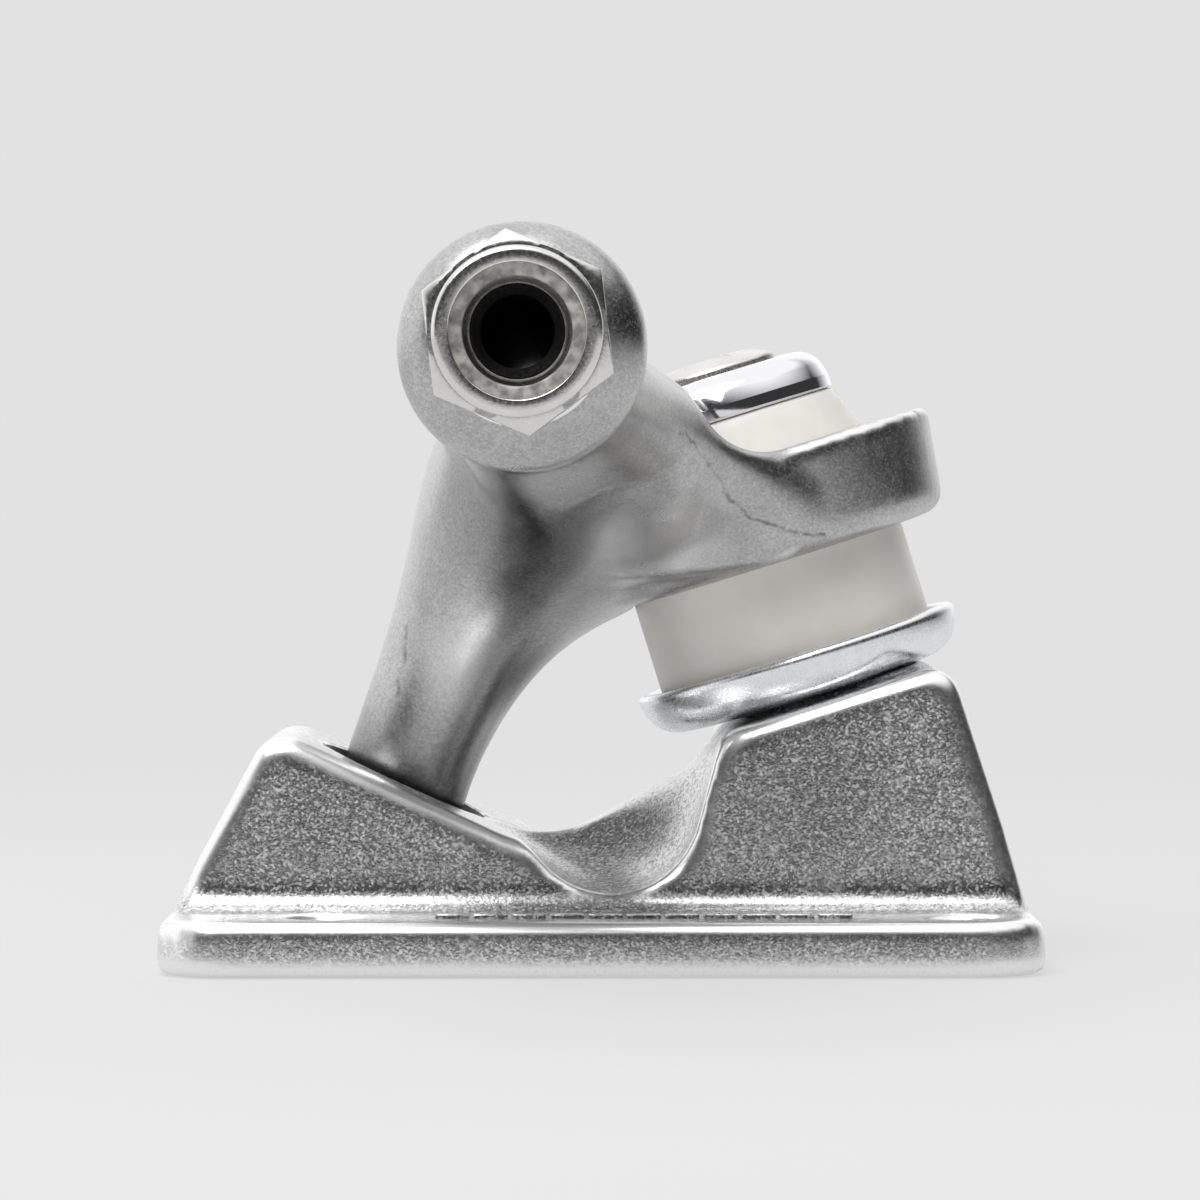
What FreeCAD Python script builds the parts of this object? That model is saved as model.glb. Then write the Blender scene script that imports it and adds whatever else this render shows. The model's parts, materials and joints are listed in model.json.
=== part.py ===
import FreeCAD, Part
import math
import os

# Skateboard truck, in millimetres. X runs from the pivot to the kingpin, Y along the axle, Z up.
# The origin is the centre of the baseplate's underside.

# Shared fits and overruns
overrun = 60.0
join_tolerance = 0.00001
press_gap = 0.02
running_gap = 0.08
seat_gap = 0.15

# Baseplate flange, which reaches past the deck bolts by a margin at each end
flange_margin_back = 14.01
flange_margin_front = 7.41
flange_width = 57.0
flange_thickness = 4.7
flange_corner_radius = 6.0
flange_edge_radius = 1.0

# Deck bolt pattern
bolt_spacing_long = 53.98
bolt_spacing_wide = 41.28
bolt_hole_diameter = 5.5
bolt_hole_chamfer = 0.5

# Baseplate lumps, seen from the side
body_half_width = 15.0
body_draft_angle = 3.0
body_end_setback = 1.0
body_foot_height = 5.4
body_sink = 1.5
body_edge_radius = 1.6
foot_fillet_radius = 1.9
foot_fillet_end = 1.0
pivot_lump_lean = 7.7
pivot_lump_rise = 14.35
pivot_lump_corner_radius = 2.9
pivot_face_angle = 24.5
kingpin_lump_lean = 6.0
kingpin_lump_rise = 18.5
kingpin_lump_corner_radius = 2.8
kingpin_lump_back = 11.0
kingpin_lump_back_radius = 1.6
kingpin_lump_drop = 0.5
kingpin_lump_end = 36.9

# Ridge between the lumps, at the centre plane
ridge_start_height = 12.2
ridge_angle = 27.9
ridge_end = 8.0
ridge_end_radius = 3.5
ridge_valley_radius = 9.0
ridge_half_thickness = 0.9

# Scoops cut into both sides of the ridge
scoop_bottom = 1.0
scoop_depth_height = 6.1
scoop_radius = 7.5
scoop_left_angle = 47.6
scoop_right_angle = 77.2
scoop_left_length = 6.0
scoop_right_length = 14.0
scoop_middle = 8.0
scoop_middle_share = 0.74
scoop_side_overrun = 1.0

# Seat pad under the bottom washer
pad_back = 6.4
pad_front = 10.4
pad_half_width = 11.0
pad_corner_radius = 5.0

# Underside recesses
recess_back = -10.5
recess_front = 12.0
recess_inner = 1.6
recess_outer = 11.2
recess_depth = 2.2
recess_corner_radius = 2.5

# Kingpin axis: where it meets the washer seat, and its lean towards the pivot
seat_x = 18.4
seat_z = 23.05
kingpin_tilt = 17.4

# Kingpin
kingpin_diameter = 9.525
kingpin_head_diameter = 12.3
kingpin_head_height = 3.4
kingpin_head_dome = 0.45
kingpin_socket_across = 6.35
kingpin_socket_depth = 2.4
kingpin_end_chamfer = 0.8
kingpin_below_nut = 0.9

# Kingpin nut in its pocket
kingpin_nut_across = 14.29
kingpin_nut_height = 10.4
kingpin_nut_depth = 11.0
nut_pocket_gap = 0.25
kingpin_insert_height = 2.4
kingpin_insert_wall = 1.5
kingpin_collar_wall = 0.8
nut_chamfer_angle = 30.0
nut_lip = 0.5

# Bottom washer
bottom_washer_gap = 0.95
bottom_washer_height = 4.0
bottom_washer_wall = 1.5
bottom_washer_lean = 1.2
bottom_washer_round = 2.8

# Bushings
bushing_bore_gap = 0.3
bottom_bushing_diameter = 24.7
bushing_chamfer = 0.8
top_bushing_seat_diameter = 23.3
top_bushing_top_diameter = 20.0
bushing_seat_gap = 0.25

# Hanger ring around the bushings
ring_underside = 12.0
ring_thickness = 9.2
ring_wall = 5.0
ring_draft_angle = 7.5
ring_upper_edge_radius = 0.5
ring_lower_edge_radius = 2.0
ring_lower_seat_depth = 3.0
ring_upper_seat_depth = 1.5
ring_bore_diameter = 14.0

# Top washer
top_washer_underside = 25.2
top_washer_diameter = 20.2
top_washer_band = 1.15
top_washer_dome_height = 2.8
top_washer_plateau_radius = 6.75
top_washer_dome_bulge = 0.75
top_washer_floor = 1.6

# Pivot nose and cup
pivot_x = -20.1
pivot_z = 9.0
cup_face_distance = 6.98
nose_ball_radius = 4.0
stem_radius = 5.75
cup_rim_radius = 7.8
cup_stand = 0.45
cup_depth = 12.0
cup_mouth_radius = 7.35
cup_vent_radius = 1.2

# Axle
axle_x = -6.3
axle_z = 51.8
axle_diameter = 7.94
axle_length = 212.0
axle_bore_diameter = 5.2
axle_mouth_diameter = 6.4
axle_end_chamfer = 0.5

# Hanger barrel
hanger_length = 142.0
barrel_radius = 9.55
barrel_dome_length = 5.5
barrel_dome_bulge = 1.5
barrel_face_radius = 6.0
barrel_boss_radius = 5.3
barrel_boss_height = 1.0

# Hanger neck and wings: a belt round a nose circle in the ring, a horn circle beside the saddle, a root
# circle in the barrel and a web circle over the stem. The neck is flat up to one share of the hanger's
# half length. From there the circles draw together into the barrel, up to the other share.
wing_nose_forward = 0.6
wing_horn_back = 6.2
wing_horn_height = 27.0
wing_horn_radius = 3.8
wing_root_radius = 5.0
wing_root_reach = 2.0
wing_web_x = -1.0
wing_web_z = 41.0
wing_web_radius = 8.5
wing_tip_radius = 4.6
wing_tip_reach = 4.2
wing_tip_horn_reach = 0.9
wing_flat_share = 0.231
wing_tip_share = 0.83
wing_sections = 6
wing_sweep_power = 1.5

# Hanger stem: ellipses from the nose up into the barrel, each with its centre, the lean of its long
# axis, its half width in the side plane and its half width along the axle
stem_middle_x = -14.65
stem_middle_z = 22.0
stem_middle_half = 6.0
stem_middle_side = 6.5
stem_upper_x = -11.0
stem_upper_z = 28.7
stem_upper_half = 7.5
stem_upper_side = 9.0
stem_root_x = -6.5
stem_root_z = 34.5
stem_root_half = 10.7
stem_root_side = 16.5
stem_crown_x = -1.4
stem_crown_z = 40.3
stem_crown_half = 14.1
stem_crown_side = 27.0
stem_top_x = -5.6
stem_top_z = 49.2
stem_top_half = 8.0
stem_top_side = 40.0
stem_middle_lean = -22.4
stem_upper_lean = -19.0
stem_root_lean = -21.6
stem_crown_lean = -16.7
stem_top_lean = -8.0

# Saddle that the top washer swings in, under the metal that covers the axle
saddle_radius = 18.5
saddle_wall_distance = 12.3
saddle_tilt = 12.0
saddle_floor_radius = 5.0
saddle_side_distance = 2.2
saddle_side_radius = 6.0
saddle_axle_cover = 2.6

# Axle nuts and speed washers
axle_nut_across = 12.7
axle_nut_turn = 36.7
axle_nut_height = 8.0
axle_nut_past_end = 1.5
axle_insert_height = 2.3
axle_insert_wall = 1.4
axle_insert_mouth_radius = 3.5
axle_collar_wall = 0.6
speed_washer_diameter = 12.6
speed_washer_thickness = 1.2
speed_washer_gap = 0.1

# Sizes that follow from those above
flange_length = bolt_spacing_long + flange_margin_back + flange_margin_front
bolt_pattern_offset = (flange_margin_back - flange_margin_front) / 2
bottom_washer_diameter = bottom_bushing_diameter + (bottom_washer_gap + bottom_washer_wall) * 2
ring_diameter = bottom_bushing_diameter + (bushing_seat_gap + ring_wall) * 2
kingpin_radius = kingpin_diameter / 2
axle_radius = axle_diameter / 2
ring_radius = ring_diameter / 2
ring_top = ring_underside + ring_thickness
ring_middle = ring_underside + ring_thickness / 2
top_washer_top = top_washer_underside + top_washer_band + top_washer_dome_height
kingpin_head_seat = top_washer_underside + top_washer_floor
kingpin_nut_bottom = kingpin_nut_depth + kingpin_nut_height
kingpin_end = kingpin_nut_bottom + kingpin_below_nut
axle_half = axle_length / 2
hanger_half = hanger_length / 2
body_end_left = flange_length / 2 - body_end_setback


def vec(x, y, z):
    return FreeCAD.Vector(x, y, z)


def side(x, z):
    return vec(x, 0, z)


X = vec(1, 0, 0)
Y = vec(0, 1, 0)
Z = vec(0, 0, 1)
ORIGIN = vec(0, 0, 0)

seat_point = side(seat_x, seat_z)
kingpin_frame = FreeCAD.Placement(seat_point, FreeCAD.Rotation(Y, -kingpin_tilt))
pivot_point = side(pivot_x, pivot_z)
cup_frame = FreeCAD.Placement(pivot_point, FreeCAD.Rotation(Y, pivot_face_angle))
axle_point = side(axle_x, axle_z)


def along_angle(degrees):
    """Unit vector in the side plane, turned up from +X."""
    return side(math.cos(math.radians(degrees)), math.sin(math.radians(degrees)))


def rounded_wire(corners):
    """Closed wire of straight runs; each (point, radius) corner is turned by a tangent arc."""
    turns = []
    for i, (here, radius) in enumerate(corners):
        arrive = middle = leave = here
        if radius > 0:
            back = (corners[i - 1][0] - here).normalize()
            ahead = (corners[(i + 1) % len(corners)][0] - here).normalize()
            half = back.getAngle(ahead) / 2
            reach = radius / math.tan(half)
            arrive = here + back * reach
            leave = here + ahead * reach
            middle = here + (back + ahead).normalize() * (radius / math.sin(half) - radius)
        turns.append((arrive, middle, leave))
    edges = []
    for i, (arrive, middle, leave) in enumerate(turns):
        onward = turns[(i + 1) % len(turns)][0]
        if (leave - arrive).Length > join_tolerance:
            edges.append(Part.Arc(arrive, middle, leave).toShape())
        if (onward - leave).Length > join_tolerance:
            edges.append(Part.makeLine(leave, onward))
    return Part.Wire(edges)


def prism(wire, along):
    return Part.Face(wire).extrude(along)


def turned(corners):
    """Ring or disc turned about Z from (radius, height, rounding) corners."""
    wire = rounded_wire([(side(r, h), rounding) for r, h, rounding in corners])
    return Part.Face(wire).revolve(ORIGIN, Z, 360)


def placed(shape, frame):
    moved = shape.copy()
    moved.Placement = frame.multiply(moved.Placement)
    return moved


def cylinder(radius, low, high):
    return Part.makeCylinder(radius, high - low, Z * low, Z)


def mirrored(shape):
    return shape.mirror(ORIGIN, Y)


def line_crossing(point_a, along_a, point_b, along_b):
    """Where two lines of the side plane cross."""
    gap = point_b - point_a
    turn = along_a.x * along_b.z - along_a.z * along_b.x
    return point_a + along_a * ((gap.x * along_b.z - gap.z * along_b.x) / turn)


def tangent_touch(radius, point):
    """Where the line down from a point touches the circle of this radius round the origin."""
    turn = math.atan2(point.z, point.x) - math.acos(radius / point.Length)
    return along_angle(math.degrees(turn)) * radius


def hexagon(across, low, high):
    corner = across / math.sqrt(3)
    turns = [math.pi * k / 3 for k in range(7)]
    points = [vec(corner * math.cos(turn), corner * math.sin(turn), low) for turn in turns]
    return prism(Part.makePolygon(points), Z * (high - low))


def rounded_box(back, front, inner, outer, radius):
    """Flat outline from back to front along X and from inner to outer along Y."""
    return rounded_wire([
        (vec(back, inner, 0), radius),
        (vec(front, inner, 0), radius),
        (vec(front, outer, 0), radius),
        (vec(back, outer, 0), radius),
    ])


def flange():
    half_long = flange_length / 2
    half_wide = flange_width / 2
    outline = rounded_box(-half_long, half_long, -half_wide, half_wide, flange_corner_radius)
    plate = prism(outline, Z * flange_thickness)
    rims = [e for e in plate.Edges if e.BoundBox.ZLength < flange_edge_radius]
    return plate.makeFillet(flange_edge_radius, rims)


def side_outline():
    """Outline of the two lumps and the ridge between them, at the centre plane."""
    low = flange_thickness - body_sink
    left_foot = side(-body_end_left, body_foot_height)
    left_rise = side(pivot_lump_lean, pivot_lump_rise)
    face_point = pivot_point + along_angle(90 - pivot_face_angle) * cup_face_distance
    face_along = along_angle(-pivot_face_angle)
    right_foot = side(kingpin_lump_end, body_foot_height)
    right_rise = side(-kingpin_lump_lean, kingpin_lump_rise)
    top_point = seat_point - along_angle(90 + kingpin_tilt) * kingpin_lump_drop
    top_along = along_angle(kingpin_tilt)
    ridge_point = side(0, ridge_start_height)
    ridge_along = along_angle(ridge_angle)
    ridge_stop = line_crossing(ridge_point, ridge_along, side(ridge_end, 0), Z)
    return rounded_wire([
        (side(-body_end_left, low), 0),
        (left_foot, 0),
        (line_crossing(left_foot, left_rise, face_point, face_along), pivot_lump_corner_radius),
        (line_crossing(face_point, face_along, ridge_point, ridge_along), ridge_valley_radius),
        (ridge_stop, ridge_end_radius),
        (line_crossing(top_point, top_along, side(kingpin_lump_back, 0), Z), kingpin_lump_back_radius),
        (line_crossing(right_foot, right_rise, top_point, top_along), kingpin_lump_corner_radius),
        (right_foot, 0),
        (side(kingpin_lump_end, low), 0),
    ])


def wall_at(height):
    """Half width of the drafted body at a height above the flange."""
    return body_half_width - (height - flange_thickness) * math.tan(math.radians(body_draft_angle))


def lumps():
    """Both lumps and the ridge, with drafted side walls and rounded upper edges."""
    outline = side_outline()
    outline.translate(Y * -body_half_width * 2)
    block = prism(outline, Y * body_half_width * 4)
    low = flange_thickness - body_sink
    high = seat_z * 2
    front = Part.makePolygon([
        vec(-overrun, -wall_at(low), low),
        vec(-overrun, wall_at(low), low),
        vec(-overrun, wall_at(high), high),
        vec(-overrun, -wall_at(high), high),
        vec(-overrun, -wall_at(low), low),
    ])
    block = block.common(prism(front, X * overrun * 2))
    rims = []
    for edge in block.Edges:
        ends = [v.Point for v in edge.Vertexes]
        on_wall = all(abs(abs(p.y) - wall_at(p.z)) < press_gap for p in ends)
        crosses = ends[0].y * ends[-1].y < 0
        level = all(abs(p.z - low) < press_gap for p in ends)
        if on_wall and not crosses and not level:
            rims.append(edge)
    return block.makeFillet(body_edge_radius, rims)


def foot_fillets():
    """Hollow fillets along the feet of both side walls."""
    low = flange_thickness - body_sink
    left = -body_end_left + foot_fillet_end
    right = kingpin_lump_end - foot_fillet_end
    high = flange_thickness + foot_fillet_radius
    inner = body_half_width - foot_fillet_radius
    outer = body_half_width + foot_fillet_radius
    hollow = foot_fillet_radius * math.cos(math.radians(body_draft_angle))
    strip = rounded_wire([
        (vec(left, inner, low), 0),
        (vec(left, inner, high), 0),
        (vec(left, wall_at(high), high), 0),
        (vec(left, body_half_width, flange_thickness), hollow),
        (vec(left, outer, flange_thickness), 0),
        (vec(left, outer, low), 0),
    ])
    fillet = prism(strip, X * (right - left))
    return [fillet, mirrored(fillet)]


def scoop_section(y, wall_share):
    """Section of the scoop tool: the ridge's line at the centre, the valley's arc at the wall."""
    radius = ridge_valley_radius + (scoop_radius - ridge_valley_radius) * wall_share
    left_angle = pivot_face_angle + (scoop_left_angle - pivot_face_angle) * wall_share
    right_angle = ridge_angle + (scoop_right_angle - ridge_angle) * wall_share
    face_point = pivot_point + along_angle(90 - pivot_face_angle) * cup_face_distance
    corner = line_crossing(face_point, along_angle(-pivot_face_angle), side(0, ridge_start_height),
                           along_angle(ridge_angle))
    half_turn = math.radians((pivot_face_angle + ridge_angle) / 2)
    ridge_centre = corner + along_angle(90 + (ridge_angle - pivot_face_angle) / 2) * (
        ridge_valley_radius / math.cos(half_turn))
    wall_centre = side(scoop_bottom, scoop_depth_height + scoop_radius)
    centre = ridge_centre + (wall_centre - ridge_centre) * wall_share
    left = centre - along_angle(90 - left_angle) * radius
    right = centre - along_angle(90 + right_angle) * radius
    bottom = centre - along_angle(90 + (right_angle - left_angle) / 2) * radius
    left_top = left - along_angle(-left_angle) * scoop_left_length
    right_top = right + along_angle(right_angle) * scoop_right_length
    edges = [
        Part.makeLine(left_top, left),
        Part.Arc(left, bottom, right).toShape(),
        Part.makeLine(right, right_top),
        Part.makeLine(right_top, left_top),
    ]
    wire = Part.Wire(edges)
    wire.translate(Y * y)
    return wire


def scoops():
    tool = Part.makeLoft([
        scoop_section(ridge_half_thickness, 0),
        scoop_section(scoop_middle, scoop_middle_share),
        scoop_section(body_half_width + scoop_side_overrun, 1),
    ], True)
    return [tool, mirrored(tool)]


def deck_bolt_holes():
    radius = bolt_hole_diameter / 2
    chamfer_low = flange_thickness - bolt_hole_chamfer
    tools = []
    for along in (-1, 1):
        for across in (-1, 1):
            x = bolt_pattern_offset + along * bolt_spacing_long / 2
            y = across * bolt_spacing_wide / 2
            hole = cylinder(radius, -overrun, overrun)
            hole.translate(vec(x, y, 0))
            chamfer_foot = vec(x, y, chamfer_low)
            tools += [hole, Part.makeCone(radius, radius + bolt_hole_chamfer, bolt_hole_chamfer, chamfer_foot)]
    return tools


def baseplate():
    solid = flange().fuse([lumps()] + foot_fillets()).cut(scoops())
    pad = rounded_box(-pad_back, pad_front, -pad_half_width, pad_half_width, pad_corner_radius)
    pad = prism(pad, Z * kingpin_lump_drop * 2)
    pad.translate(Z * -kingpin_lump_drop * 2)
    solid = solid.fuse(placed(pad, kingpin_frame))
    nut_pocket = hexagon(kingpin_nut_across + nut_pocket_gap * 2, -overrun, -kingpin_nut_depth)
    cuts = [
        placed(cylinder(kingpin_radius + seat_gap, -overrun, overrun), kingpin_frame),
        placed(nut_pocket, kingpin_frame),
        placed(cylinder(cup_rim_radius + press_gap, cup_face_distance - cup_depth, overrun), cup_frame),
    ]
    recess = rounded_box(recess_back, recess_front, recess_inner, recess_outer, recess_corner_radius)
    recess = prism(recess, Z * recess_depth)
    cuts += [recess, mirrored(recess)]
    return solid.cut(cuts + deck_bolt_holes()).removeSplitter()


def pivot_cup():
    """Urethane cup: a round socket for the nose, opening to a wide mouth."""
    rim_height = cup_face_distance + cup_stand
    outer = cylinder(cup_rim_radius, cup_face_distance - cup_depth, rim_height)
    socket_radius = nose_ball_radius + running_gap
    ball = Part.makeSphere(socket_radius)
    touch = tangent_touch(socket_radius, side(cup_mouth_radius, rim_height))
    mouth = Part.makeCone(touch.x, cup_mouth_radius, rim_height - touch.z, Z * touch.z)
    vent = cylinder(cup_vent_radius, -overrun, 0)
    return placed(outer.cut([ball, mouth, vent]), cup_frame)


def kingpin():
    head_top = kingpin_head_seat + kingpin_head_height
    head_radius = kingpin_head_diameter / 2
    body = turned([
        (0, -kingpin_end, 0),
        (kingpin_radius - kingpin_end_chamfer, -kingpin_end, 0),
        (kingpin_radius, kingpin_end_chamfer - kingpin_end, 0),
        (kingpin_radius, kingpin_head_seat, 0),
        (head_radius, kingpin_head_seat, 0),
        (head_radius, head_top - kingpin_head_dome, 0),
        (0, head_top, 0),
    ])
    socket = hexagon(kingpin_socket_across, head_top - kingpin_socket_depth, overrun)
    return placed(body.cut(socket), kingpin_frame)


def lock_nut(across, height, bore_radius, insert_height, insert_wall, collar_wall, past):
    """Hexagon nut standing on Z, with a round collar at the top that holds the nylon ring."""
    collar_radius = bore_radius + insert_wall + collar_wall
    collar_low = height - insert_height - nut_lip
    corner = across / math.sqrt(3)
    drop = (corner - across / 2) * math.tan(math.radians(nut_chamfer_angle))
    blank = hexagon(across, 0, collar_low)
    trim = turned([
        (0, 0, 0),
        (across / 2, 0, 0),
        (corner, drop, 0),
        (corner, collar_low - drop, 0),
        (across / 2, collar_low, 0),
        (0, collar_low, 0),
    ])
    collar = turned([
        (0, collar_low - drop, 0),
        (collar_radius, collar_low - drop, 0),
        (collar_radius, height, collar_wall),
        (0, height, 0),
    ])
    groove = cylinder(bore_radius + insert_wall, height - insert_height, height - past)
    mouth = cylinder(bore_radius + insert_wall - collar_wall, height - insert_height, height)
    bore = cylinder(bore_radius, 0, height)
    return blank.common(trim).fuse(collar).cut([bore, groove, mouth]).removeSplitter()


def kingpin_nut_frame():
    """Stands at the nut's bearing face and points down, towards the deck."""
    return kingpin_frame.multiply(FreeCAD.Placement(Z * -kingpin_nut_depth, FreeCAD.Rotation(X, 180)))


def kingpin_nut():
    nut = lock_nut(kingpin_nut_across, kingpin_nut_height, kingpin_radius + press_gap, kingpin_insert_height,
                   kingpin_insert_wall, kingpin_collar_wall, nut_lip)
    return placed(nut, kingpin_nut_frame())


def insert_ring(height, bore_radius, insert_height, insert_wall, mouth_low, mouth_radius):
    """Nylon ring of a lock nut, narrower where the thread hasn't reached it."""
    low = height - insert_height + press_gap
    high = height - nut_lip - press_gap
    ring = cylinder(bore_radius + insert_wall - press_gap, low, high)
    return ring.cut([cylinder(mouth_radius, low, high), cylinder(bore_radius, low, mouth_low)])


def kingpin_nut_insert():
    bore = kingpin_radius + press_gap
    ring = insert_ring(kingpin_nut_height, bore, kingpin_insert_height, kingpin_insert_wall,
                       kingpin_nut_height, bore)
    return placed(ring, kingpin_nut_frame())


def bottom_washer():
    """Pressed dish with a flat base and a flared lip."""
    rim = bottom_washer_diameter / 2
    foot = rim - bottom_washer_lean
    inner = rim - bottom_washer_wall
    dish = turned([
        (kingpin_radius + seat_gap, 0, 0),
        (foot, 0, bottom_washer_round),
        (rim, bottom_washer_height, 0),
        (inner, bottom_washer_height, 0),
        (foot - bottom_washer_wall, bottom_washer_wall, 0),
        (kingpin_radius + seat_gap, bottom_washer_wall, 0),
    ])
    return placed(dish, kingpin_frame)


def bottom_bushing():
    radius = bottom_bushing_diameter / 2
    bore = kingpin_radius + bushing_bore_gap
    low = bottom_washer_wall
    high = ring_underside + ring_lower_seat_depth
    body = turned([
        (bore, low, 0),
        (radius - bushing_chamfer, low, 0),
        (radius, low + bushing_chamfer, 0),
        (radius, high - bushing_chamfer, 0),
        (radius - bushing_chamfer, high, 0),
        (bore, high, 0),
    ])
    return placed(body, kingpin_frame)


def top_bushing():
    bore = kingpin_radius + bushing_bore_gap
    low = ring_top - ring_upper_seat_depth
    seat_radius = top_bushing_seat_diameter / 2
    body = turned([
        (bore, low, 0),
        (seat_radius - bushing_chamfer, low, 0),
        (seat_radius, low + bushing_chamfer, 0),
        (seat_radius, ring_top, 0),
        (top_bushing_top_diameter / 2, top_washer_underside, 0),
        (bore, top_washer_underside, 0),
    ])
    return placed(body, kingpin_frame)


def top_washer():
    """Domed washer whose recess holds the kingpin's head."""
    rim = top_washer_diameter / 2
    band_top = top_washer_underside + top_washer_band
    hole = kingpin_radius + seat_gap
    recess = kingpin_head_diameter / 2 + seat_gap
    bulge = side((rim + top_washer_plateau_radius) / 2, (band_top + top_washer_top) / 2)
    bulge += along_angle(45) * top_washer_dome_bulge
    edges = [
        Part.makeLine(side(hole, top_washer_underside), side(rim, top_washer_underside)),
        Part.makeLine(side(rim, top_washer_underside), side(rim, band_top)),
        Part.Arc(side(rim, band_top), bulge, side(top_washer_plateau_radius, top_washer_top)).toShape(),
        Part.makeLine(side(top_washer_plateau_radius, top_washer_top), side(recess, top_washer_top)),
        Part.makeLine(side(recess, top_washer_top), side(recess, kingpin_head_seat)),
        Part.makeLine(side(recess, kingpin_head_seat), side(hole, kingpin_head_seat)),
        Part.makeLine(side(hole, kingpin_head_seat), side(hole, top_washer_underside)),
    ]
    body = Part.Face(Part.Wire(edges)).revolve(ORIGIN, Z, 360)
    return placed(body, kingpin_frame)


def barrel():
    """Round casting over the axle, with domed ends and a small face for the washer at each."""
    dome_start = hanger_half - barrel_dome_length
    bulge = side((barrel_radius + barrel_face_radius) / 2, hanger_half - barrel_dome_length / 2)
    bulge += along_angle(45) * barrel_dome_bulge
    tube = Part.makeLine(side(barrel_radius, -dome_start), side(barrel_radius, dome_start))
    dome = Part.Arc(side(barrel_radius, dome_start), bulge, side(barrel_face_radius, hanger_half))
    boss_end = hanger_half + barrel_boss_height
    upper = [
        dome.toShape(),
        Part.makeLine(side(barrel_face_radius, hanger_half), side(barrel_boss_radius, hanger_half)),
        Part.makeLine(side(barrel_boss_radius, hanger_half), side(barrel_boss_radius, boss_end)),
        Part.makeLine(side(barrel_boss_radius, boss_end), side(0, boss_end)),
    ]
    lower = [edge.mirror(ORIGIN, Z) for edge in upper]
    outline = upper + lower + [tube, Part.makeLine(side(0, boss_end), side(0, -boss_end))]
    wire = Part.Wire(Part.__sortEdges__(outline))
    body = Part.Face(wire).revolve(ORIGIN, Z, 360)
    return placed(body, FreeCAD.Placement(axle_point, FreeCAD.Rotation(X, 90)))


def belt(y, circles):
    """Tight belt round (centre, radius) circles of a side plane, listed anticlockwise."""
    turns = []
    for i, (centre, radius) in enumerate(circles):
        onward, onward_radius = circles[(i + 1) % len(circles)]
        reach = onward - centre
        turn = math.atan2(reach.z, reach.x) - math.acos((radius - onward_radius) / reach.Length)
        turns.append(math.degrees(turn))
    edges = []
    for i, (centre, radius) in enumerate(circles):
        arrive = turns[i - 1]
        leave = arrive + (turns[i] - arrive) % 360
        ends = [centre + along_angle(turn) * radius for turn in (arrive, (arrive + leave) / 2, leave)]
        edges.append(Part.Arc(*ends).toShape())
        onward, onward_radius = circles[(i + 1) % len(circles)]
        edges.append(Part.makeLine(ends[-1], onward + along_angle(leave) * onward_radius))
    wire = Part.Wire(edges)
    wire.translate(Y * y)
    return wire


def wing():
    """Neck and one wing: a belt whose circles draw together into the barrel towards the tip."""
    nose = kingpin_frame.multVec(side(wing_nose_forward, ring_middle))
    across = (nose - axle_point).normalize()
    outward = side(-across.z, across.x)
    starts = [
        (nose, ring_thickness / 2),
        (kingpin_frame.multVec(side(-wing_horn_back, wing_horn_height)), wing_horn_radius),
        (axle_point + across * wing_root_reach, wing_root_radius),
        (side(wing_web_x, wing_web_z), wing_web_radius),
    ]
    tips = [
        axle_point + across * wing_tip_reach,
        axle_point + outward * wing_tip_horn_reach,
        axle_point - across * wing_tip_reach,
        axle_point - outward * wing_tip_reach,
    ]
    flat_half = hanger_half * wing_flat_share
    sections = []
    for station in range(wing_sections):
        along = station / (wing_sections - 1)
        drawn = 1 - (1 - along) ** 2
        y = flat_half + (hanger_half * wing_tip_share - flat_half) * along ** wing_sweep_power
        circles = [(centre + (tip - centre) * drawn, radius + (wing_tip_radius - radius) * drawn)
                   for (centre, radius), tip in zip(starts, tips)]
        sections.append(belt(y, circles))
    neck = prism(sections[0], Y * -flat_half)
    return [neck, Part.makeLoft(sections, True)]


def ellipse(x, z, lean, half, half_side):
    """Ellipse across the side plane: half along the lean, half_side along the axle."""
    circle = Part.Circle(ORIGIN, Z, 1).toShape()
    stretch = FreeCAD.Matrix()
    stretch.scale(vec(half, half_side, 1))
    wire = Part.Wire([circle.transformGeometry(stretch)])
    wire.Placement = FreeCAD.Placement(side(x, z), FreeCAD.Rotation(Y, -lean))
    return wire


def stem():
    """Pivot nose turned to a ball, carried up into the barrel by a loft of widening ellipses."""
    touch = tangent_touch(nose_ball_radius, side(stem_radius, cup_face_distance))
    bottom = side(0, -nose_ball_radius)
    between = (bottom + touch).normalize() * nose_ball_radius
    outline = Part.Wire([
        Part.Arc(bottom, between, touch).toShape(),
        Part.makeLine(touch, side(stem_radius, cup_face_distance)),
        Part.makeLine(side(stem_radius, cup_face_distance), side(0, cup_face_distance)),
        Part.makeLine(side(0, cup_face_distance), bottom),
    ])
    nose = placed(Part.Face(outline).revolve(ORIGIN, Z, 360), cup_frame)
    base = cup_frame.multVec(Z * cup_face_distance)
    post = Part.makeLoft([
        ellipse(base.x, base.z, -pivot_face_angle, stem_radius, stem_radius),
        ellipse(stem_middle_x, stem_middle_z, stem_middle_lean, stem_middle_half, stem_middle_side),
        ellipse(stem_upper_x, stem_upper_z, stem_upper_lean, stem_upper_half, stem_upper_side),
        ellipse(stem_root_x, stem_root_z, stem_root_lean, stem_root_half, stem_root_side),
        ellipse(stem_crown_x, stem_crown_z, stem_crown_lean, stem_crown_half, stem_crown_side),
        ellipse(stem_top_x, stem_top_z, stem_top_lean, stem_top_half, stem_top_side),
    ], True)
    return [nose, post]


def ring():
    lower_radius = ring_radius - ring_thickness * math.tan(math.radians(ring_draft_angle))
    body = turned([
        (0, ring_underside, 0),
        (lower_radius, ring_underside, ring_lower_edge_radius),
        (ring_radius, ring_top, ring_upper_edge_radius),
        (0, ring_top, 0),
    ])
    return placed(body, kingpin_frame)


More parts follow.
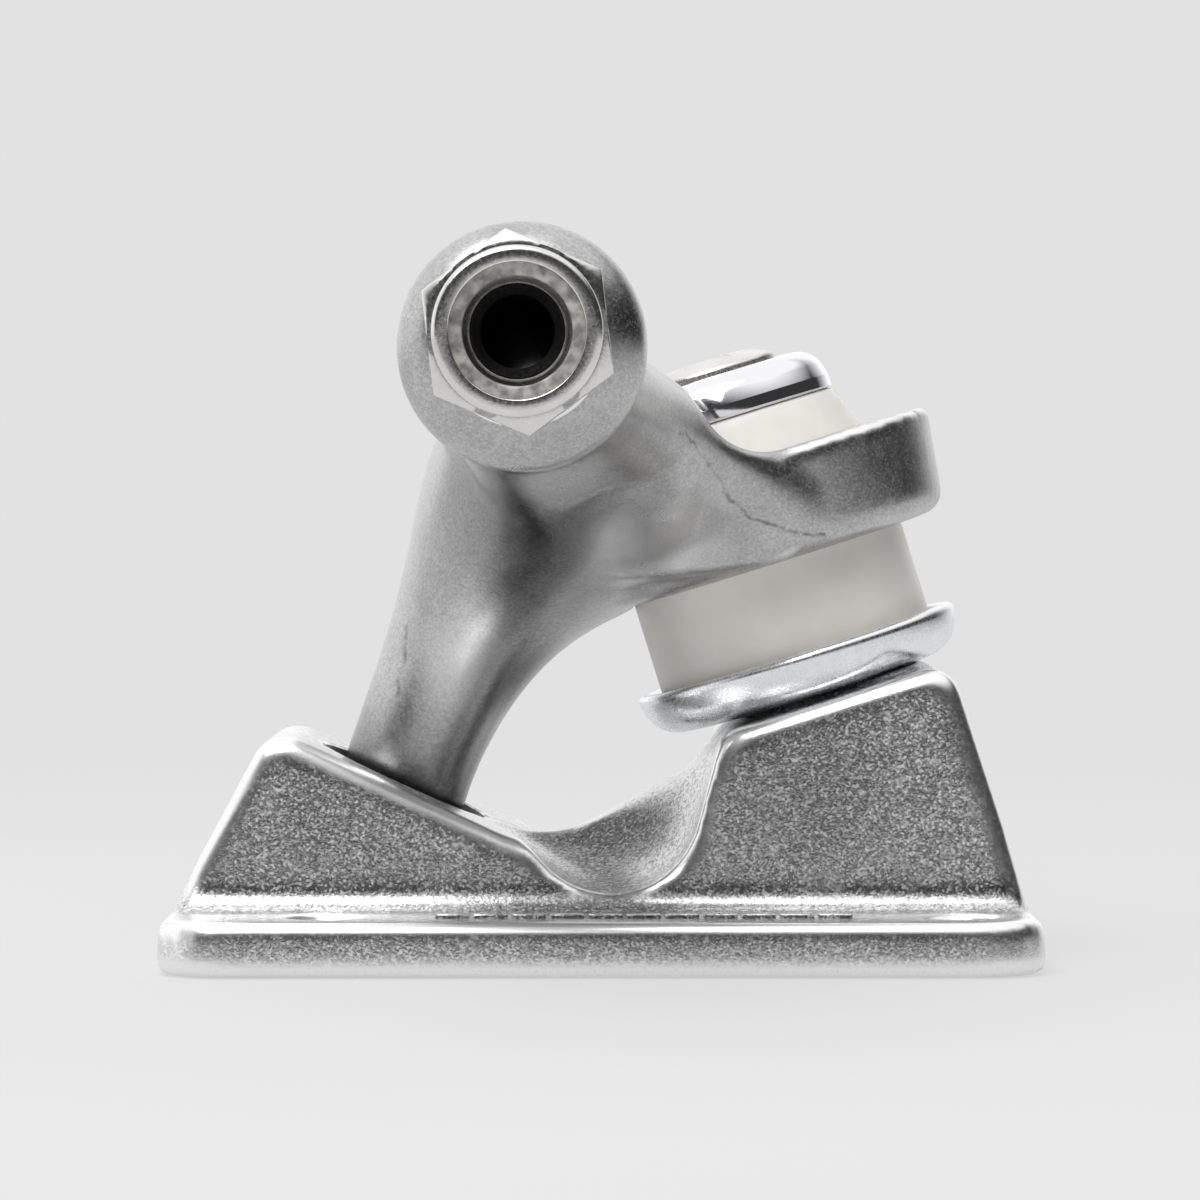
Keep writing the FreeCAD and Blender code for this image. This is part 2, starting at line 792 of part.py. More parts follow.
def saddle():
    """Tool for the round hollow that the top washer swings in; it opens away from the axle."""
    slope = math.tan(math.radians(saddle_tilt))
    washer_height = top_washer_underside + top_washer_band
    reach = saddle_radius / math.cos(math.radians(saddle_tilt))
    centre = reach - saddle_wall_distance - (washer_height - ring_top) * slope
    leaning = cylinder(saddle_radius, -overrun, overrun)
    leaning.Placement = FreeCAD.Placement(side(centre, ring_top), FreeCAD.Rotation(Y, saddle_tilt))
    tool = leaning.common(Part.makeBox(overrun * 2, overrun * 2, overrun, vec(-overrun, -overrun, ring_top)))
    floor_rim = [e for e in tool.Edges if abs(e.BoundBox.ZMax - ring_top) < press_gap]
    return placed(tool.makeFillet(saddle_floor_radius, floor_rim), kingpin_frame)


def saddle_sides():
    """Tool that opens the saddle out to both sides, at the saddle's lean, over a rounded floor."""
    slope = math.tan(math.radians(saddle_tilt))
    washer_height = top_washer_underside + top_washer_band
    foot = (washer_height - ring_top) * slope - saddle_side_distance
    outline = rounded_wire([
        (side(foot, ring_top), saddle_side_radius),
        (side(overrun, ring_top), 0),
        (side(overrun, overrun), 0),
        (side(foot - (overrun - ring_top) * slope, overrun), 0),
    ])
    outline.translate(Y * -overrun)
    return placed(prism(outline, Y * overrun * 2), kingpin_frame)


def hanger():
    half = wing()
    solid = barrel().fuse(half + [mirrored(piece) for piece in half] + stem() + [ring()])
    lower_seat = cylinder(bottom_bushing_diameter / 2 + bushing_seat_gap, -overrun,
                          ring_underside + ring_lower_seat_depth)
    lower_seat = lower_seat.common(cylinder(ring_radius, ring_underside - ring_thickness, ring_top))
    upper_seat = cylinder(top_bushing_seat_diameter / 2 + bushing_seat_gap,
                          ring_top - ring_upper_seat_depth, top_washer_top)
    bore = cylinder(ring_bore_diameter / 2, 0, top_washer_top)
    axle_hole, cover = [Part.makeCylinder(axle_radius + wall, axle_length, axle_point - Y * axle_half, Y)
                        for wall in (press_gap, saddle_axle_cover)]
    tools = [placed(tool, kingpin_frame) for tool in (lower_seat, upper_seat, bore)]
    tools += [saddle().cut(cover), saddle_sides().cut(cover), axle_hole]
    return solid.cut(tools).removeSplitter()


def axle_side_frame(end):
    """Stands on the axle's middle and points outwards along it; end is -1 or 1."""
    return FreeCAD.Placement(axle_point, FreeCAD.Rotation(X, -90 * end))


def axle():
    mouth = (axle_mouth_diameter - axle_bore_diameter) / 2
    bore = axle_bore_diameter / 2
    tube = turned([
        (bore, mouth - axle_half, 0),
        (bore + mouth, -axle_half, 0),
        (axle_radius - axle_end_chamfer, -axle_half, 0),
        (axle_radius, axle_end_chamfer - axle_half, 0),
        (axle_radius, axle_half - axle_end_chamfer, 0),
        (axle_radius - axle_end_chamfer, axle_half, 0),
        (bore + mouth, axle_half, 0),
        (bore, axle_half - mouth, 0),
    ])
    return placed(tube, axle_side_frame(1))


def axle_nut(end):
    nut = lock_nut(axle_nut_across, axle_nut_height, axle_radius + press_gap, axle_insert_height,
                   axle_insert_wall, axle_collar_wall, nut_lip)
    nut.rotate(ORIGIN, Z, axle_nut_turn)
    nut.translate(Z * (axle_half + axle_nut_past_end - axle_nut_height))
    return placed(nut, axle_side_frame(end))


def axle_nut_insert(end):
    ring_shape = insert_ring(axle_nut_height, axle_radius + press_gap, axle_insert_height, axle_insert_wall,
                             axle_nut_height - axle_nut_past_end + press_gap, axle_insert_mouth_radius)
    ring_shape.translate(Z * (axle_half + axle_nut_past_end - axle_nut_height))
    return placed(ring_shape, axle_side_frame(end))


def speed_washer(end, low):
    high = low + speed_washer_thickness
    disc = cylinder(speed_washer_diameter / 2, low, high)
    return placed(disc.cut(cylinder(axle_radius + running_gap, low, high)), axle_side_frame(end))


def build():
    nut_low = axle_half + axle_nut_past_end - axle_nut_height
    inner_low = hanger_half + barrel_boss_height + speed_washer_gap
    outer_low = nut_low - speed_washer_gap - speed_washer_thickness
    pieces = {
        "baseplate": baseplate(),
        "pivot_cup": pivot_cup(),
        "kingpin": kingpin(),
        "kingpin_nut": kingpin_nut(),
        "kingpin_nut_insert": kingpin_nut_insert(),
        "bottom_washer": bottom_washer(),
        "bottom_bushing": bottom_bushing(),
        "top_bushing": top_bushing(),
        "top_washer": top_washer(),
        "hanger": hanger(),
        "axle": axle(),
    }
    for end, name in ((-1, "left"), (1, "right")):
        pieces["axle_nut_" + name] = axle_nut(end)
        pieces["axle_nut_insert_" + name] = axle_nut_insert(end)
        pieces["speed_washer_" + name + "_inner"] = speed_washer(end, inner_low)
        pieces["speed_washer_" + name + "_outer"] = speed_washer(end, outer_low)
    return pieces


os.makedirs("parts", exist_ok=True)
for node, shape in build().items():
    shape.exportStep("parts/" + node + ".step")
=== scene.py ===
import json
import math

import bmesh
import bpy
from bpy.props import (FloatProperty, FloatVectorProperty, IntProperty,
                       PointerProperty)
from bpy.types import Operator, Panel, PropertyGroup
from mathutils import Matrix, Vector


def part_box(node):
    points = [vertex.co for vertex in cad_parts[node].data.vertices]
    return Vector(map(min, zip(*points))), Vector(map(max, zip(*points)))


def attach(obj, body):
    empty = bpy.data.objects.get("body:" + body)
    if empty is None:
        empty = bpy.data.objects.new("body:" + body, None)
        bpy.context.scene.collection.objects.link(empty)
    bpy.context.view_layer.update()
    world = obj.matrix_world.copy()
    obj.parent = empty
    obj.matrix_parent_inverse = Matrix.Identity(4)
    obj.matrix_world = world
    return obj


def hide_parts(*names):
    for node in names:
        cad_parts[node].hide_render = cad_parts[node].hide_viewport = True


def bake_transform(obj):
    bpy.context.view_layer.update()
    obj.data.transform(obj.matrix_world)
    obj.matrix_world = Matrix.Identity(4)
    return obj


bl_info = {
    "name": "Skateboard Truck",
    "version": (1, 0, 0),
    "blender": (4, 5, 0),
    "location": "View3D > Sidebar > Truck",
    "description": "Dresses a skateboard truck's frame with finished pieces, and sets its studio",
    "category": "Object",
}

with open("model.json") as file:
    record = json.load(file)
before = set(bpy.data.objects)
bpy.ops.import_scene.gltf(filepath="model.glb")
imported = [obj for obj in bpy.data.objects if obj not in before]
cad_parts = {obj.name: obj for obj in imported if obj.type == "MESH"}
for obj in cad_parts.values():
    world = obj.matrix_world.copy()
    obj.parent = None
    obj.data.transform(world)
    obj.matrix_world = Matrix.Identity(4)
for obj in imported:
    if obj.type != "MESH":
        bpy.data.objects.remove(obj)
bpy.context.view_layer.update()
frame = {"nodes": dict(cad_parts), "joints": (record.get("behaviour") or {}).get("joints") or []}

MM = 0.001
MERGE = 0.00001
SHARP = math.radians(38)
NUT_CORNER = math.radians(50)
NUT_CHAMFER = math.radians(30)
ROUND_SEGMENTS = 5
FINE_STEPS = 128
SMALL_STEPS = 72
FIT_GAP = 0.02 * MM
THREAD_SINK = 0.03 * MM
# Bright metal for lightened edges, partly real scuffing and partly painted highlight, and for the
# painted highlights on the hanger
BARE_METAL_AND_PAINTED_HIGHLIGHT = (0.90, 0.90, 0.90)
# Fine lines on the hanger, through (x, z) points in the truck's side view
CASTING_LINES = (
    ((0.0074, 0.0462), (0.0098, 0.0436), (0.0112, 0.0410), (0.0134, 0.0392), (0.0164, 0.0380),
     (0.0196, 0.0375)),
    ((-0.0163, 0.0296), (-0.0167, 0.0266), (-0.0172, 0.0237)),
)


def length(name, millimetres, description):
    return FloatProperty(name=name, description=description, default=millimetres * MM,
                         unit="LENGTH", precision=5)


def lean(name, degrees, description):
    return FloatProperty(name=name, description=description, default=math.radians(degrees),
                         subtype="ANGLE", unit="ROTATION")


def share(name, value, description):
    return FloatProperty(name=name, description=description, default=value, min=0.0, max=1.0,
                         subtype="FACTOR")


def strength(name, value, description):
    return FloatProperty(name=name, description=description, default=value, min=0.0)


def count(name, value, description):
    return IntProperty(name=name, description=description, default=value, min=0)


def place(name, metres, description):
    return FloatVectorProperty(name=name, description=description, default=metres, size=3,
                               subtype="TRANSLATION", unit="LENGTH", precision=5)


def colour(name, value, description):
    return FloatVectorProperty(name=name, description=description, default=value, size=3,
                               min=0.0, max=1.0, subtype="COLOR")


def joint_place(name):
    """Where a joint of the frame turns, at rest."""
    return next(joint["pos_m"] for joint in frame["joints"] if joint["name"] == name)


def box_middle(node):
    low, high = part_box(node)
    return (low + high) / 2


class TruckAxes(PropertyGroup):
    seat: place("Washer seat", (0.0184, 0.0, 0.02305),
                "Where the kingpin's axis meets the pad of the baseplate")
    kingpin_lean: lean("Kingpin lean", 17.4, "Lean of the kingpin towards the pivot")
    pivot: place("Pivot", joint_place("hanger_lean"), "Centre of the hanger's nose in its cup")
    cup_lean: lean("Cup lean", 24.5, "Lean of the pivot cup towards the kingpin")
    axle: place("Axle", box_middle("axle"), "Middle of the axle")


class CastingSizes(PropertyGroup):
    baseplate_voxel: length("Baseplate mesh size", 0.45, "Size of the faces of the baseplate")
    hanger_voxel: length("Hanger mesh size", 0.5, "Size of the faces of the hanger")
    soften_passes: count("Softening", 6, "Passes that round a casting's edges")
    flank: place("Flank", (-0.006, 0.016, 0.0365), "Where the neck's flank flows into the stem")
    flank_reach: length("Flank reach", 6.0, "Round the flank, how far it is fully softened")
    flank_fade: length("Flank fade", 8.0, "Over what length that softening fades out")
    flank_passes: count("Flank softening", 240, "Passes that round the hanger's flanks")
    # Edges found here are lightened: partly real scuffing, partly painted highlight
    edge_passes: count("Edge finding", 24, "Passes that find a casting's edges, which are lightened")
    edge_height: length("Edge height", 0.24, "How far an edge stands out where it is fully lightened")
    # Painted shade: the stem's foot by the cup, the wing's underside and the stem's inner side are
    # darkened
    foot_shade_reach: length("Foot painted shade", 16.0, "How far up from the pivot the stem is dark")
    foot_strength: strength("Foot strength", 1.3, "How dark the stem's foot is")
    hollow: place("Hollow", (-0.007, 0.020, 0.0375), "Where the wing's underside is dark")
    hollow_shade_reach: length("Hollow painted shade", 14.0, "How far the dark under the wing reaches")
    hollow_strength: strength("Hollow strength", 0.7, "How dark the wing's underside is")
    crook: place("Crook", (-0.0060, 0.005, 0.0235), "Where the stem's inner side is dark")
    crook_shade_reach: length("Crook painted shade", 5.5, "How far the dark of the stem's inner side reaches")
    crook_strength: strength("Crook strength", 0.8, "How dark the stem's inner side is")
    # Painted highlight: parts of the neck and the stem are lightened
    painted_highlight: place("Painted highlight", (0.0033, 0.0205, 0.0366), "Where a highlight is painted on the neck")
    highlight_reach: length("Highlight reach", 9.0, "How far the bright part of the neck reaches")
    highlight_strength: strength("Highlight strength", 0.85, "How bright the neck's painted highlight is")
    stem_highlight: place("Stem highlight", (-0.0118, 0.0065, 0.026), "Where a highlight is painted on the stem")
    stem_highlight_reach: length("Stem highlight reach", 5.0, "How far its bright part reaches")
    stem_highlight_strength: strength("Stem highlight strength", 0.6, "How bright the stem's painted highlight is")
    bar_length: length("Bar length", 2.9, "Length of a raised bar on the flange")
    bar_width: length("Bar width", 1.6, "Width of a raised bar on the flange")
    bar_height: length("Bar height", 0.35, "Height of a raised bar on the flange")
    bar_spacing: length("Bar spacing", 3.24, "From one raised bar to the next")
    bar_start: length("Bar start", -12.6, "Where the first bar's middle stands on the flange")
    bar_offset: length("Bar offset", 22.1, "How far the bars stand from the middle of the flange")
    bar_count: count("Bars", 11, "Raised bars along each side of the flange")
    flange_top: length("Flange top", 4.7, "Height of the flange's upper face")
    flange_draft: length("Flange draft", 0.25, "How much narrower the flange is at its upper face")


class CupSizes(PropertyGroup):
    radius: length("Radius", 7.8, "Outer radius of the pivot cup")
    mouth_radius: length("Mouth radius", 7.35, "Radius of the cup's mouth")
    socket_radius: length("Socket radius", 4.08, "Radius of the round socket for the nose")
    low: length("Bottom", -5.02, "Height of the cup's bottom over the pivot")
    high: length("Top", 6.85, "Height of the cup's rim over the pivot")
    vent_radius: length("Vent radius", 1.2, "Radius of the hole in the cup's bottom")


class KingpinSizes(PropertyGroup):
    radius: length("Radius", 4.7625, "Radius of the kingpin's shank")
    head_radius: length("Head radius", 6.15, "Radius of the kingpin's head")
    head_low: length("Head seat", 26.8, "Height of the head's underside over the washer seat")
    head_high: length("Head top", 30.7, "Height of the head's top over the washer seat")
    head_dome: length("Head dome", 0.95, "Rise of the head's top towards its middle")
    socket_across: length("Socket", 6.35, "Width of the hexagonal socket across its flats")
    socket_depth: length("Socket depth", 2.4, "Depth of the hexagonal socket")
    end: length("End", -22.3, "Height of the kingpin's end over the washer seat")
    thread_high: length("Thread start", -9.0, "Height where the thread starts")
    thread_pitch: length("Thread pitch", 1.06, "Pitch of the kingpin's thread")
    thread_depth: length("Thread depth", 0.5, "Depth of the kingpin's thread")
    nut_high: length("Nut face", -11.0, "Height of the nut's bearing face")
    nut_across: length("Nut", 14.29, "Width of the kingpin nut across its flats")
    nut_height: length("Nut height", 10.4, "Height of the kingpin nut")
    insert_height: length("Nylon height", 2.4, "Height of the nylon ring in the nut")
    insert_wall: length("Nylon wall", 1.5, "Depth of the nut's groove for the nylon ring")
    collar_wall: length("Collar wall", 0.8, "Thickness of the nut's collar")
    lip: length("Collar lip", 0.5, "Height of the lip that holds the nylon ring")


class WasherSizes(PropertyGroup):
    dish_radius: length("Dish radius", 14.8, "Radius of the lower washer at its lip")
    dish_foot_radius: length("Dish foot", 13.6, "Radius of the lower washer's foot")
    dish_height: length("Dish height", 4.0, "Height of the lower washer")
    dish_wall: length("Dish wall", 1.5, "Thickness of the lower washer")
    dish_round: length("Dish rounding", 2.8, "Rounding of the lower washer's foot")
    hole_radius: length("Hole radius", 4.91, "Radius of both washers' holes")
    cap_low: length("Cap underside", 25.2, "Height of the upper washer's underside")
    cap_radius: length("Cap radius", 10.1, "Radius of the upper washer")
    cap_band: length("Cap band", 1.15, "Height of the straight band round the upper washer")
    cap_high: length("Cap top", 29.15, "Height of the upper washer's top")
    cap_top_radius: length("Cap top radius", 6.75, "Radius of the upper washer's flat top")
    cap_bulge: length("Cap bulge", 0.75, "How far the dome stands out of a straight cone")
    cap_recess_radius: length("Recess radius", 6.3, "Radius of the recess for the head")
    cap_recess_low: length("Recess floor", 26.8, "Height of the recess's floor")


class BushingSizes(PropertyGroup):
    bore_radius: length("Bore radius", 5.06, "Radius of both bushings' bores")
    lower_radius: length("Lower radius", 12.35, "Radius of the lower bushing")
    lower_low: length("Lower foot", 1.5, "Height of the lower bushing's foot")
    lower_high: length("Lower top", 15.0, "Height of the lower bushing's top")
    upper_foot_radius: length("Upper foot radius", 11.65, "Radius of the upper bushing's foot")
    upper_top_radius: length("Upper top radius", 10.0, "Radius of the upper bushing's top")
    upper_low: length("Upper foot", 19.7, "Height of the upper bushing's foot")
    upper_shoulder: length("Upper shoulder", 21.2, "Height where the upper bushing narrows")
    upper_high: length("Upper top", 25.2, "Height of the upper bushing's top")
    rounding: length("Rounding", 0.7, "Rounding of the bushings' edges")


class AxleSizes(PropertyGroup):
    bore_radius: length("Bore radius", 2.6, "Radius of the hole through the axle")
    mouth_radius: length("Mouth radius", 3.2, "Radius of the hole's mouth")
    thread_length: length("Thread length", 12.5, "Length of the thread at each end")
    thread_pitch: length("Thread pitch", 1.06, "Pitch of the axle's thread")
    thread_depth: length("Thread depth", 0.4, "Depth of the axle's thread")
    nut_across: length("Nut", 12.7, "Width of the axle nut across its flats")
    nut_turn: lean("Nut turn", 36.7, "How far the axle nut is turned")
    insert_height: length("Nylon height", 2.3, "Height of the nylon ring in the nut")
    insert_wall: length("Nylon wall", 1.4, "Depth of the nut's groove for the nylon ring")
    insert_mouth_radius: length("Nylon mouth", 3.85, "Radius of the nylon ring's mouth")
    collar_wall: length("Collar wall", 0.6, "Thickness of the nut's collar")
    lip: length("Collar lip", 0.5, "Height of the lip that holds the nylon ring")
    washer_hole_radius: length("Washer hole", 4.05, "Radius of a speed washer's hole")


class TruckColours(PropertyGroup):
    baseplate: colour("Baseplate", (0.68, 0.68, 0.69), "Tumbled cast aluminium")
    hanger: colour("Hanger", (0.52, 0.52, 0.52), "Satin cast aluminium")
    cup: colour("Pivot cup", (0.02, 0.02, 0.02), "Black urethane")
    bushing: colour("Bushings", (0.90, 0.87, 0.82), "Ivory urethane")
    steel: colour("Steel", (0.74, 0.73, 0.72), "Plated steel of the kingpin, axle and nuts")
    # Painted shade: near black for the inside and the ends of the axle
    bore: colour("Axle bore", (0.02, 0.02, 0.02), "Painted shade inside the axle and on its ends")
    zinc: colour("Zinc", (0.88, 0.89, 0.91), "Zinc plate of the lower and speed washers")
    chrome: colour("Chrome", (0.84, 0.84, 0.86), "Chrome plate of the upper washer")
    # Painted shade: the nylon's tone is grey for the shade inside the nut
    nylon: colour("Nylon", (0.50, 0.49, 0.47), "Nylon rings of the nuts")


class StageSettings(PropertyGroup):
    backdrop: share("Backdrop", 0.76, "Brightness of the backdrop and floor")
    shadow: share("Shadow", 0.24, "Share of the floor's brightness that a shadow takes away")
    front: share("Front", 0.04, "Brightness of the dark room behind and beside the camera")
    overhead: strength("Overhead", 1.1, "Brightness of the white ceiling and the far wall")
    key_power: FloatProperty(name="Key light", description="Power of the soft light overhead",
                             default=3.0, unit="POWER")
    key_size: length("Key size", 500.0, "Width of the soft light")
    key_place: place("Key place", (-0.2, -0.35, 0.6), "Where the soft light hangs")
    camera: place("Camera", (-0.0025, -0.5, 0.040), "Where the camera stands")
    aim: place("Aim", (0.0, 0.0, 0.0312), "What the camera looks at")
    lens: FloatProperty(name="Lens", description="Focal length of the camera", default=169.5,
                        unit="CAMERA")


class TruckSettings(PropertyGroup):
    axes: PointerProperty(type=TruckAxes)
    casting: PointerProperty(type=CastingSizes)
    cup: PointerProperty(type=CupSizes)
    kingpin: PointerProperty(type=KingpinSizes)
    washers: PointerProperty(type=WasherSizes)
    bushings: PointerProperty(type=BushingSizes)
    axle: PointerProperty(type=AxleSizes)
    colours: PointerProperty(type=TruckColours)
    stage: PointerProperty(type=StageSettings)


def kingpin_frame(axes):
    """Stands at the washer seat with Z up the kingpin."""
    return Matrix.Translation(axes.seat) @ Matrix.Rotation(-axes.kingpin_lean, 4, "Y")


def cup_frame(axes):
    """Stands at the pivot with Z out of the cup."""
    return Matrix.Translation(axes.pivot) @ Matrix.Rotation(axes.cup_lean, 4, "Y")


def axle_frame(axes, end):
    """Stands at the axle's middle with Z out to one end, -1 or 1."""
    return Matrix.Translation(axes.axle) @ Matrix.Rotation(-end * math.pi / 2, 4, "X")


# Mesh tools

def section(corners, closed=True):
    """Outline in the XZ plane of (radius, height, rounding) corners, rounded by bevels."""
    bm = bmesh.new()
    verts = [bm.verts.new((radius, 0, height)) for radius, height, rounding in corners]
    last = len(verts) if closed else len(verts) - 1
    for i in range(last):
        bm.edges.new((verts[i], verts[(i + 1) % len(verts)]))
    reaches = []
    for i, (radius, height, rounding) in enumerate(corners):
        if rounding:
            back = verts[i - 1].co - verts[i].co
            ahead = verts[(i + 1) % len(verts)].co - verts[i].co
            reaches.append((verts[i], rounding / math.tan(back.angle(ahead) / 2)))
    for vert, reach in reaches:
        bmesh.ops.bevel(bm, geom=[vert], offset=reach, offset_type="OFFSET", affect="VERTICES",
                        segments=ROUND_SEGMENTS, profile=0.5, material=-1)
    return bm


def turned(corners, steps=FINE_STEPS, closed=True):
    """Ring or solid spun about Z from a section."""
    bm = section(corners, closed)
    bmesh.ops.spin(bm, geom=bm.verts[:] + bm.edges[:], cent=(0, 0, 0), axis=(0, 0, 1),
                   dvec=(0, 0, 0), angle=math.tau, steps=steps, use_merge=True)
    tidy(bm)
    return bm


def tidy(bm):
    """Closes seams and poles, and points the faces outwards."""
    bmesh.ops.remove_doubles(bm, verts=bm.verts[:], dist=MERGE)
    bmesh.ops.dissolve_degenerate(bm, edges=bm.edges[:], dist=MERGE)
    bmesh.ops.recalc_face_normals(bm, faces=bm.faces[:])


def thread(crest, root, low, high, pitch):
    """Screw thread: a small triangle wound up about Z."""
    bm = bmesh.new()
    corners = [(root - (crest - root) / 2, low), (crest, low + pitch / 2),
               (root - (crest - root) / 2, low + pitch)]
    verts = [bm.verts.new((radius, 0, height)) for radius, height in corners]
    start = bm.faces.new(verts)
    turns = (high - low - pitch) / pitch
    steps = int(turns * SMALL_STEPS / 2)
    edges = start.edges[:]
    bmesh.ops.spin(bm, geom=edges + verts, cent=(0, 0, 0), axis=(0, 0, 1),
                   dvec=(0, 0, turns * pitch / steps), angle=math.tau * turns, steps=steps)
    rim = [edge for edge in bm.edges if edge.is_boundary]
    bmesh.ops.holes_fill(bm, edges=rim, sides=len(rim))
    bmesh.ops.recalc_face_normals(bm, faces=bm.faces[:])
    return bm


def merged(parts):
    """One bmesh of several."""
    bm = parts[0]
    for part in parts[1:]:
        mesh = bpy.data.meshes.new("part")
        part.to_mesh(mesh)
        bm.from_mesh(mesh)
        bpy.data.meshes.remove(mesh)
        part.free()
    return bm


def to_hexagon(bm, across, low, high):
    """Presses the turned blank of a nut into a hexagon whose corners keep their cone."""
    flat = across / 2
    slope = math.tan(NUT_CHAMFER)
    for vert in bm.verts:
        radius = math.hypot(vert.co.x, vert.co.y)
        if radius > flat + MERGE:
            turn = math.atan2(vert.co.y, vert.co.x) % (math.pi / 3) - math.pi / 6
            wanted = flat / math.cos(turn)
            drop = (wanted - flat) * slope
            vert.co.x *= wanted / radius
            vert.co.y *= wanted / radius
            vert.co.z = high - drop if vert.co.z > (low + high) / 2 else low + drop


def lock_nut(across, height, bore, sizes):
    """Hexagon nut standing on Z whose collar holds a nylon ring."""
    flat = across / 2
    corner = across / math.sqrt(3)
    drop = (corner - flat) * math.tan(NUT_CHAMFER)
    shoulder = height - sizes.insert_height - sizes.lip
    groove = bore + sizes.insert_wall
    collar = groove + sizes.collar_wall
    mouth = groove - sizes.collar_wall
    step = height - sizes.insert_height
    crown = sizes.collar_wall * 0.8
    edge = 0.12 * MM
    bm = turned([
        (bore, 0, edge), (flat, 0, 0), (corner, drop, 0), (corner, shoulder - drop, 0),
        (flat, shoulder, 0), (collar, shoulder, 0), (collar, height, crown),
        (mouth, height, edge), (mouth, height - sizes.lip, 0), (groove, height - sizes.lip, 0),
        (groove, step, 0), (bore, step, edge),
    ], SMALL_STEPS)
    to_hexagon(bm, across, 0, shoulder)
    sharp = [e for e in bm.edges if e.calc_face_angle(0) > NUT_CORNER
             and all(math.hypot(v.co.x, v.co.y) > flat + MERGE for v in e.verts)]
    bmesh.ops.bevel(bm, geom=sharp, offset=edge, offset_type="OFFSET", affect="EDGES",
                    segments=2, profile=0.5, material=-1)
    tidy(bm)
    return bm


def nylon_ring(height, bore, mouth, sizes):
    """Nylon ring of a lock nut, with a mouth of its own radius."""
    low = height - sizes.insert_height + FIT_GAP
    high = height - sizes.lip - FIT_GAP
    outer = bore + sizes.insert_wall - FIT_GAP
    step = (low + high) / 2
    rounding = 0.2 * MM
    return turned([
        (bore, low, 0), (outer, low, 0), (outer, high, rounding), (mouth, high, rounding),
        (mouth, step, 0), (bore, step, 0),
    ], SMALL_STEPS)


def smooth(bm, verts, passes):
    for _ in range(passes):
        bmesh.ops.smooth_vert(bm, verts=verts, factor=0.5, use_axis_x=True, use_axis_y=True,
                              use_axis_z=True)


def node_mesh(node):
    """Copy of a CAD node's mesh with its faces joined."""
    bm = bmesh.new()
    bm.from_mesh(frame["nodes"][node].data)
    bmesh.ops.remove_doubles(bm, verts=bm.verts[:], dist=MERGE / 10)
    return bm


def even_faces(bm, voxel):
    """The same outer skin in small even faces."""
    mesh = bpy.data.meshes.new("blank")
    bm.to_mesh(mesh)
    bm.free()
    blank = bpy.data.objects.new(mesh.name, mesh)
    bpy.context.scene.collection.objects.link(blank)
    remesh = blank.modifiers.new("Even faces", "REMESH")
    remesh.mode = "VOXEL"
    remesh.voxel_size = voxel
    graph = bpy.context.evaluated_depsgraph_get()
    dense = bpy.data.meshes.new_from_object(blank.evaluated_get(graph))
    bpy.data.objects.remove(blank)
    bpy.data.meshes.remove(mesh)
    bm = bmesh.new()
    bm.from_mesh(dense)
    bpy.data.meshes.remove(dense)
    return bm


def ramp(value, low, reach):
    """0 up to low and 1 from low + reach on."""
    return min(1.0, max(0.0, (value - low) / reach))


def soften_flanks(bm, sizes):
    """Rounds both flanks of the hanger's neck, most in their middles."""
    flank = Vector(sizes.flank)
    shares = []
    for vert in bm.verts:
        away = (Vector((vert.co.x, abs(vert.co.y), vert.co.z)) - flank).length
        portion = 1 - ramp(away, sizes.flank_reach, sizes.flank_fade)
        if portion > 0:
            shares.append((vert, portion, vert.co.copy()))
    smooth(bm, [vert for vert, portion, co in shares], sizes.flank_passes)
    for vert, portion, co in shares:
        vert.co = co.lerp(vert.co, portion)


def draft_flange(bm, sizes):
    """Narrows the flange a little towards its upper face."""
    low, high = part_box("baseplate")
    border, fade = MM, 2 * MM
    for vert in bm.verts:
        inside = min(high.x - abs(vert.co.x), high.y - abs(vert.co.y))
        part = (1 - ramp(inside, border, fade)) * ramp(vert.co.z, 0, sizes.flange_top)
        vert.co.xy *= 1 - part * sizes.flange_draft / high.x


def flange_bars(sizes, side):
    """Row of plain raised bars along one side of the flange."""
    bm = bmesh.new()
    y = side * sizes.bar_offset
    size = Matrix.Diagonal((sizes.bar_length, sizes.bar_width, sizes.bar_height * 2, 1))
    rounding = sizes.bar_height * 0.4
    for index in range(sizes.bar_count):
        x = sizes.bar_start + sizes.bar_spacing * index
        stand = Matrix.Translation((x, y, sizes.flange_top))
        bmesh.ops.create_cube(bm, size=1.0, matrix=stand @ size)
    bmesh.ops.bevel(bm, geom=bm.edges[:], offset=rounding, offset_type="OFFSET",
                    affect="EDGES", segments=3, profile=0.5, material=-1)
    return bm


def mark_edges(bm, passes, height):
    """Stores in "edge" how far each point stands out of what lies round it."""
    bm.normal_update()
    layer = bm.verts.layers.float.new("edge")
    kept = [(vert, vert.co.copy(), vert.normal.copy()) for vert in bm.verts]
    smooth(bm, bm.verts[:], passes)
    for vert, co, normal in kept:
        vert[layer] = (co - vert.co).dot(normal) / height
        vert.co = co


def mark_patches(bm, name, patches):
    """Stores how strong the patches (middle, reach, most) are, alike on both sides."""
    layer = bm.verts.layers.float.new(name)
    for vert in bm.verts:
        spot = Vector((vert.co.x, abs(vert.co.y), vert.co.z))
        vert[layer] = min(1, max(most * (1 - ramp((spot - Vector(middle)).length, 0, reach))
                                 for middle, reach, most in patches))


def make_piece(name, bm, material, body=None, stands_for=()):
    """Finished piece from a bmesh, with its place in its mesh."""
    mesh = bpy.data.meshes.new(name)
    bm.to_mesh(mesh)
    bm.free()
    mesh.shade_smooth()
    mesh.set_sharp_from_angle(angle=SHARP)
    for finish in material if isinstance(material, list) else [material]:
        mesh.materials.append(finish)
    piece = bpy.data.objects.new(name, mesh)
    bpy.context.scene.collection.objects.link(piece)
    if body:
        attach(piece, body)
    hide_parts(*stands_for)
    return piece


# Finishes

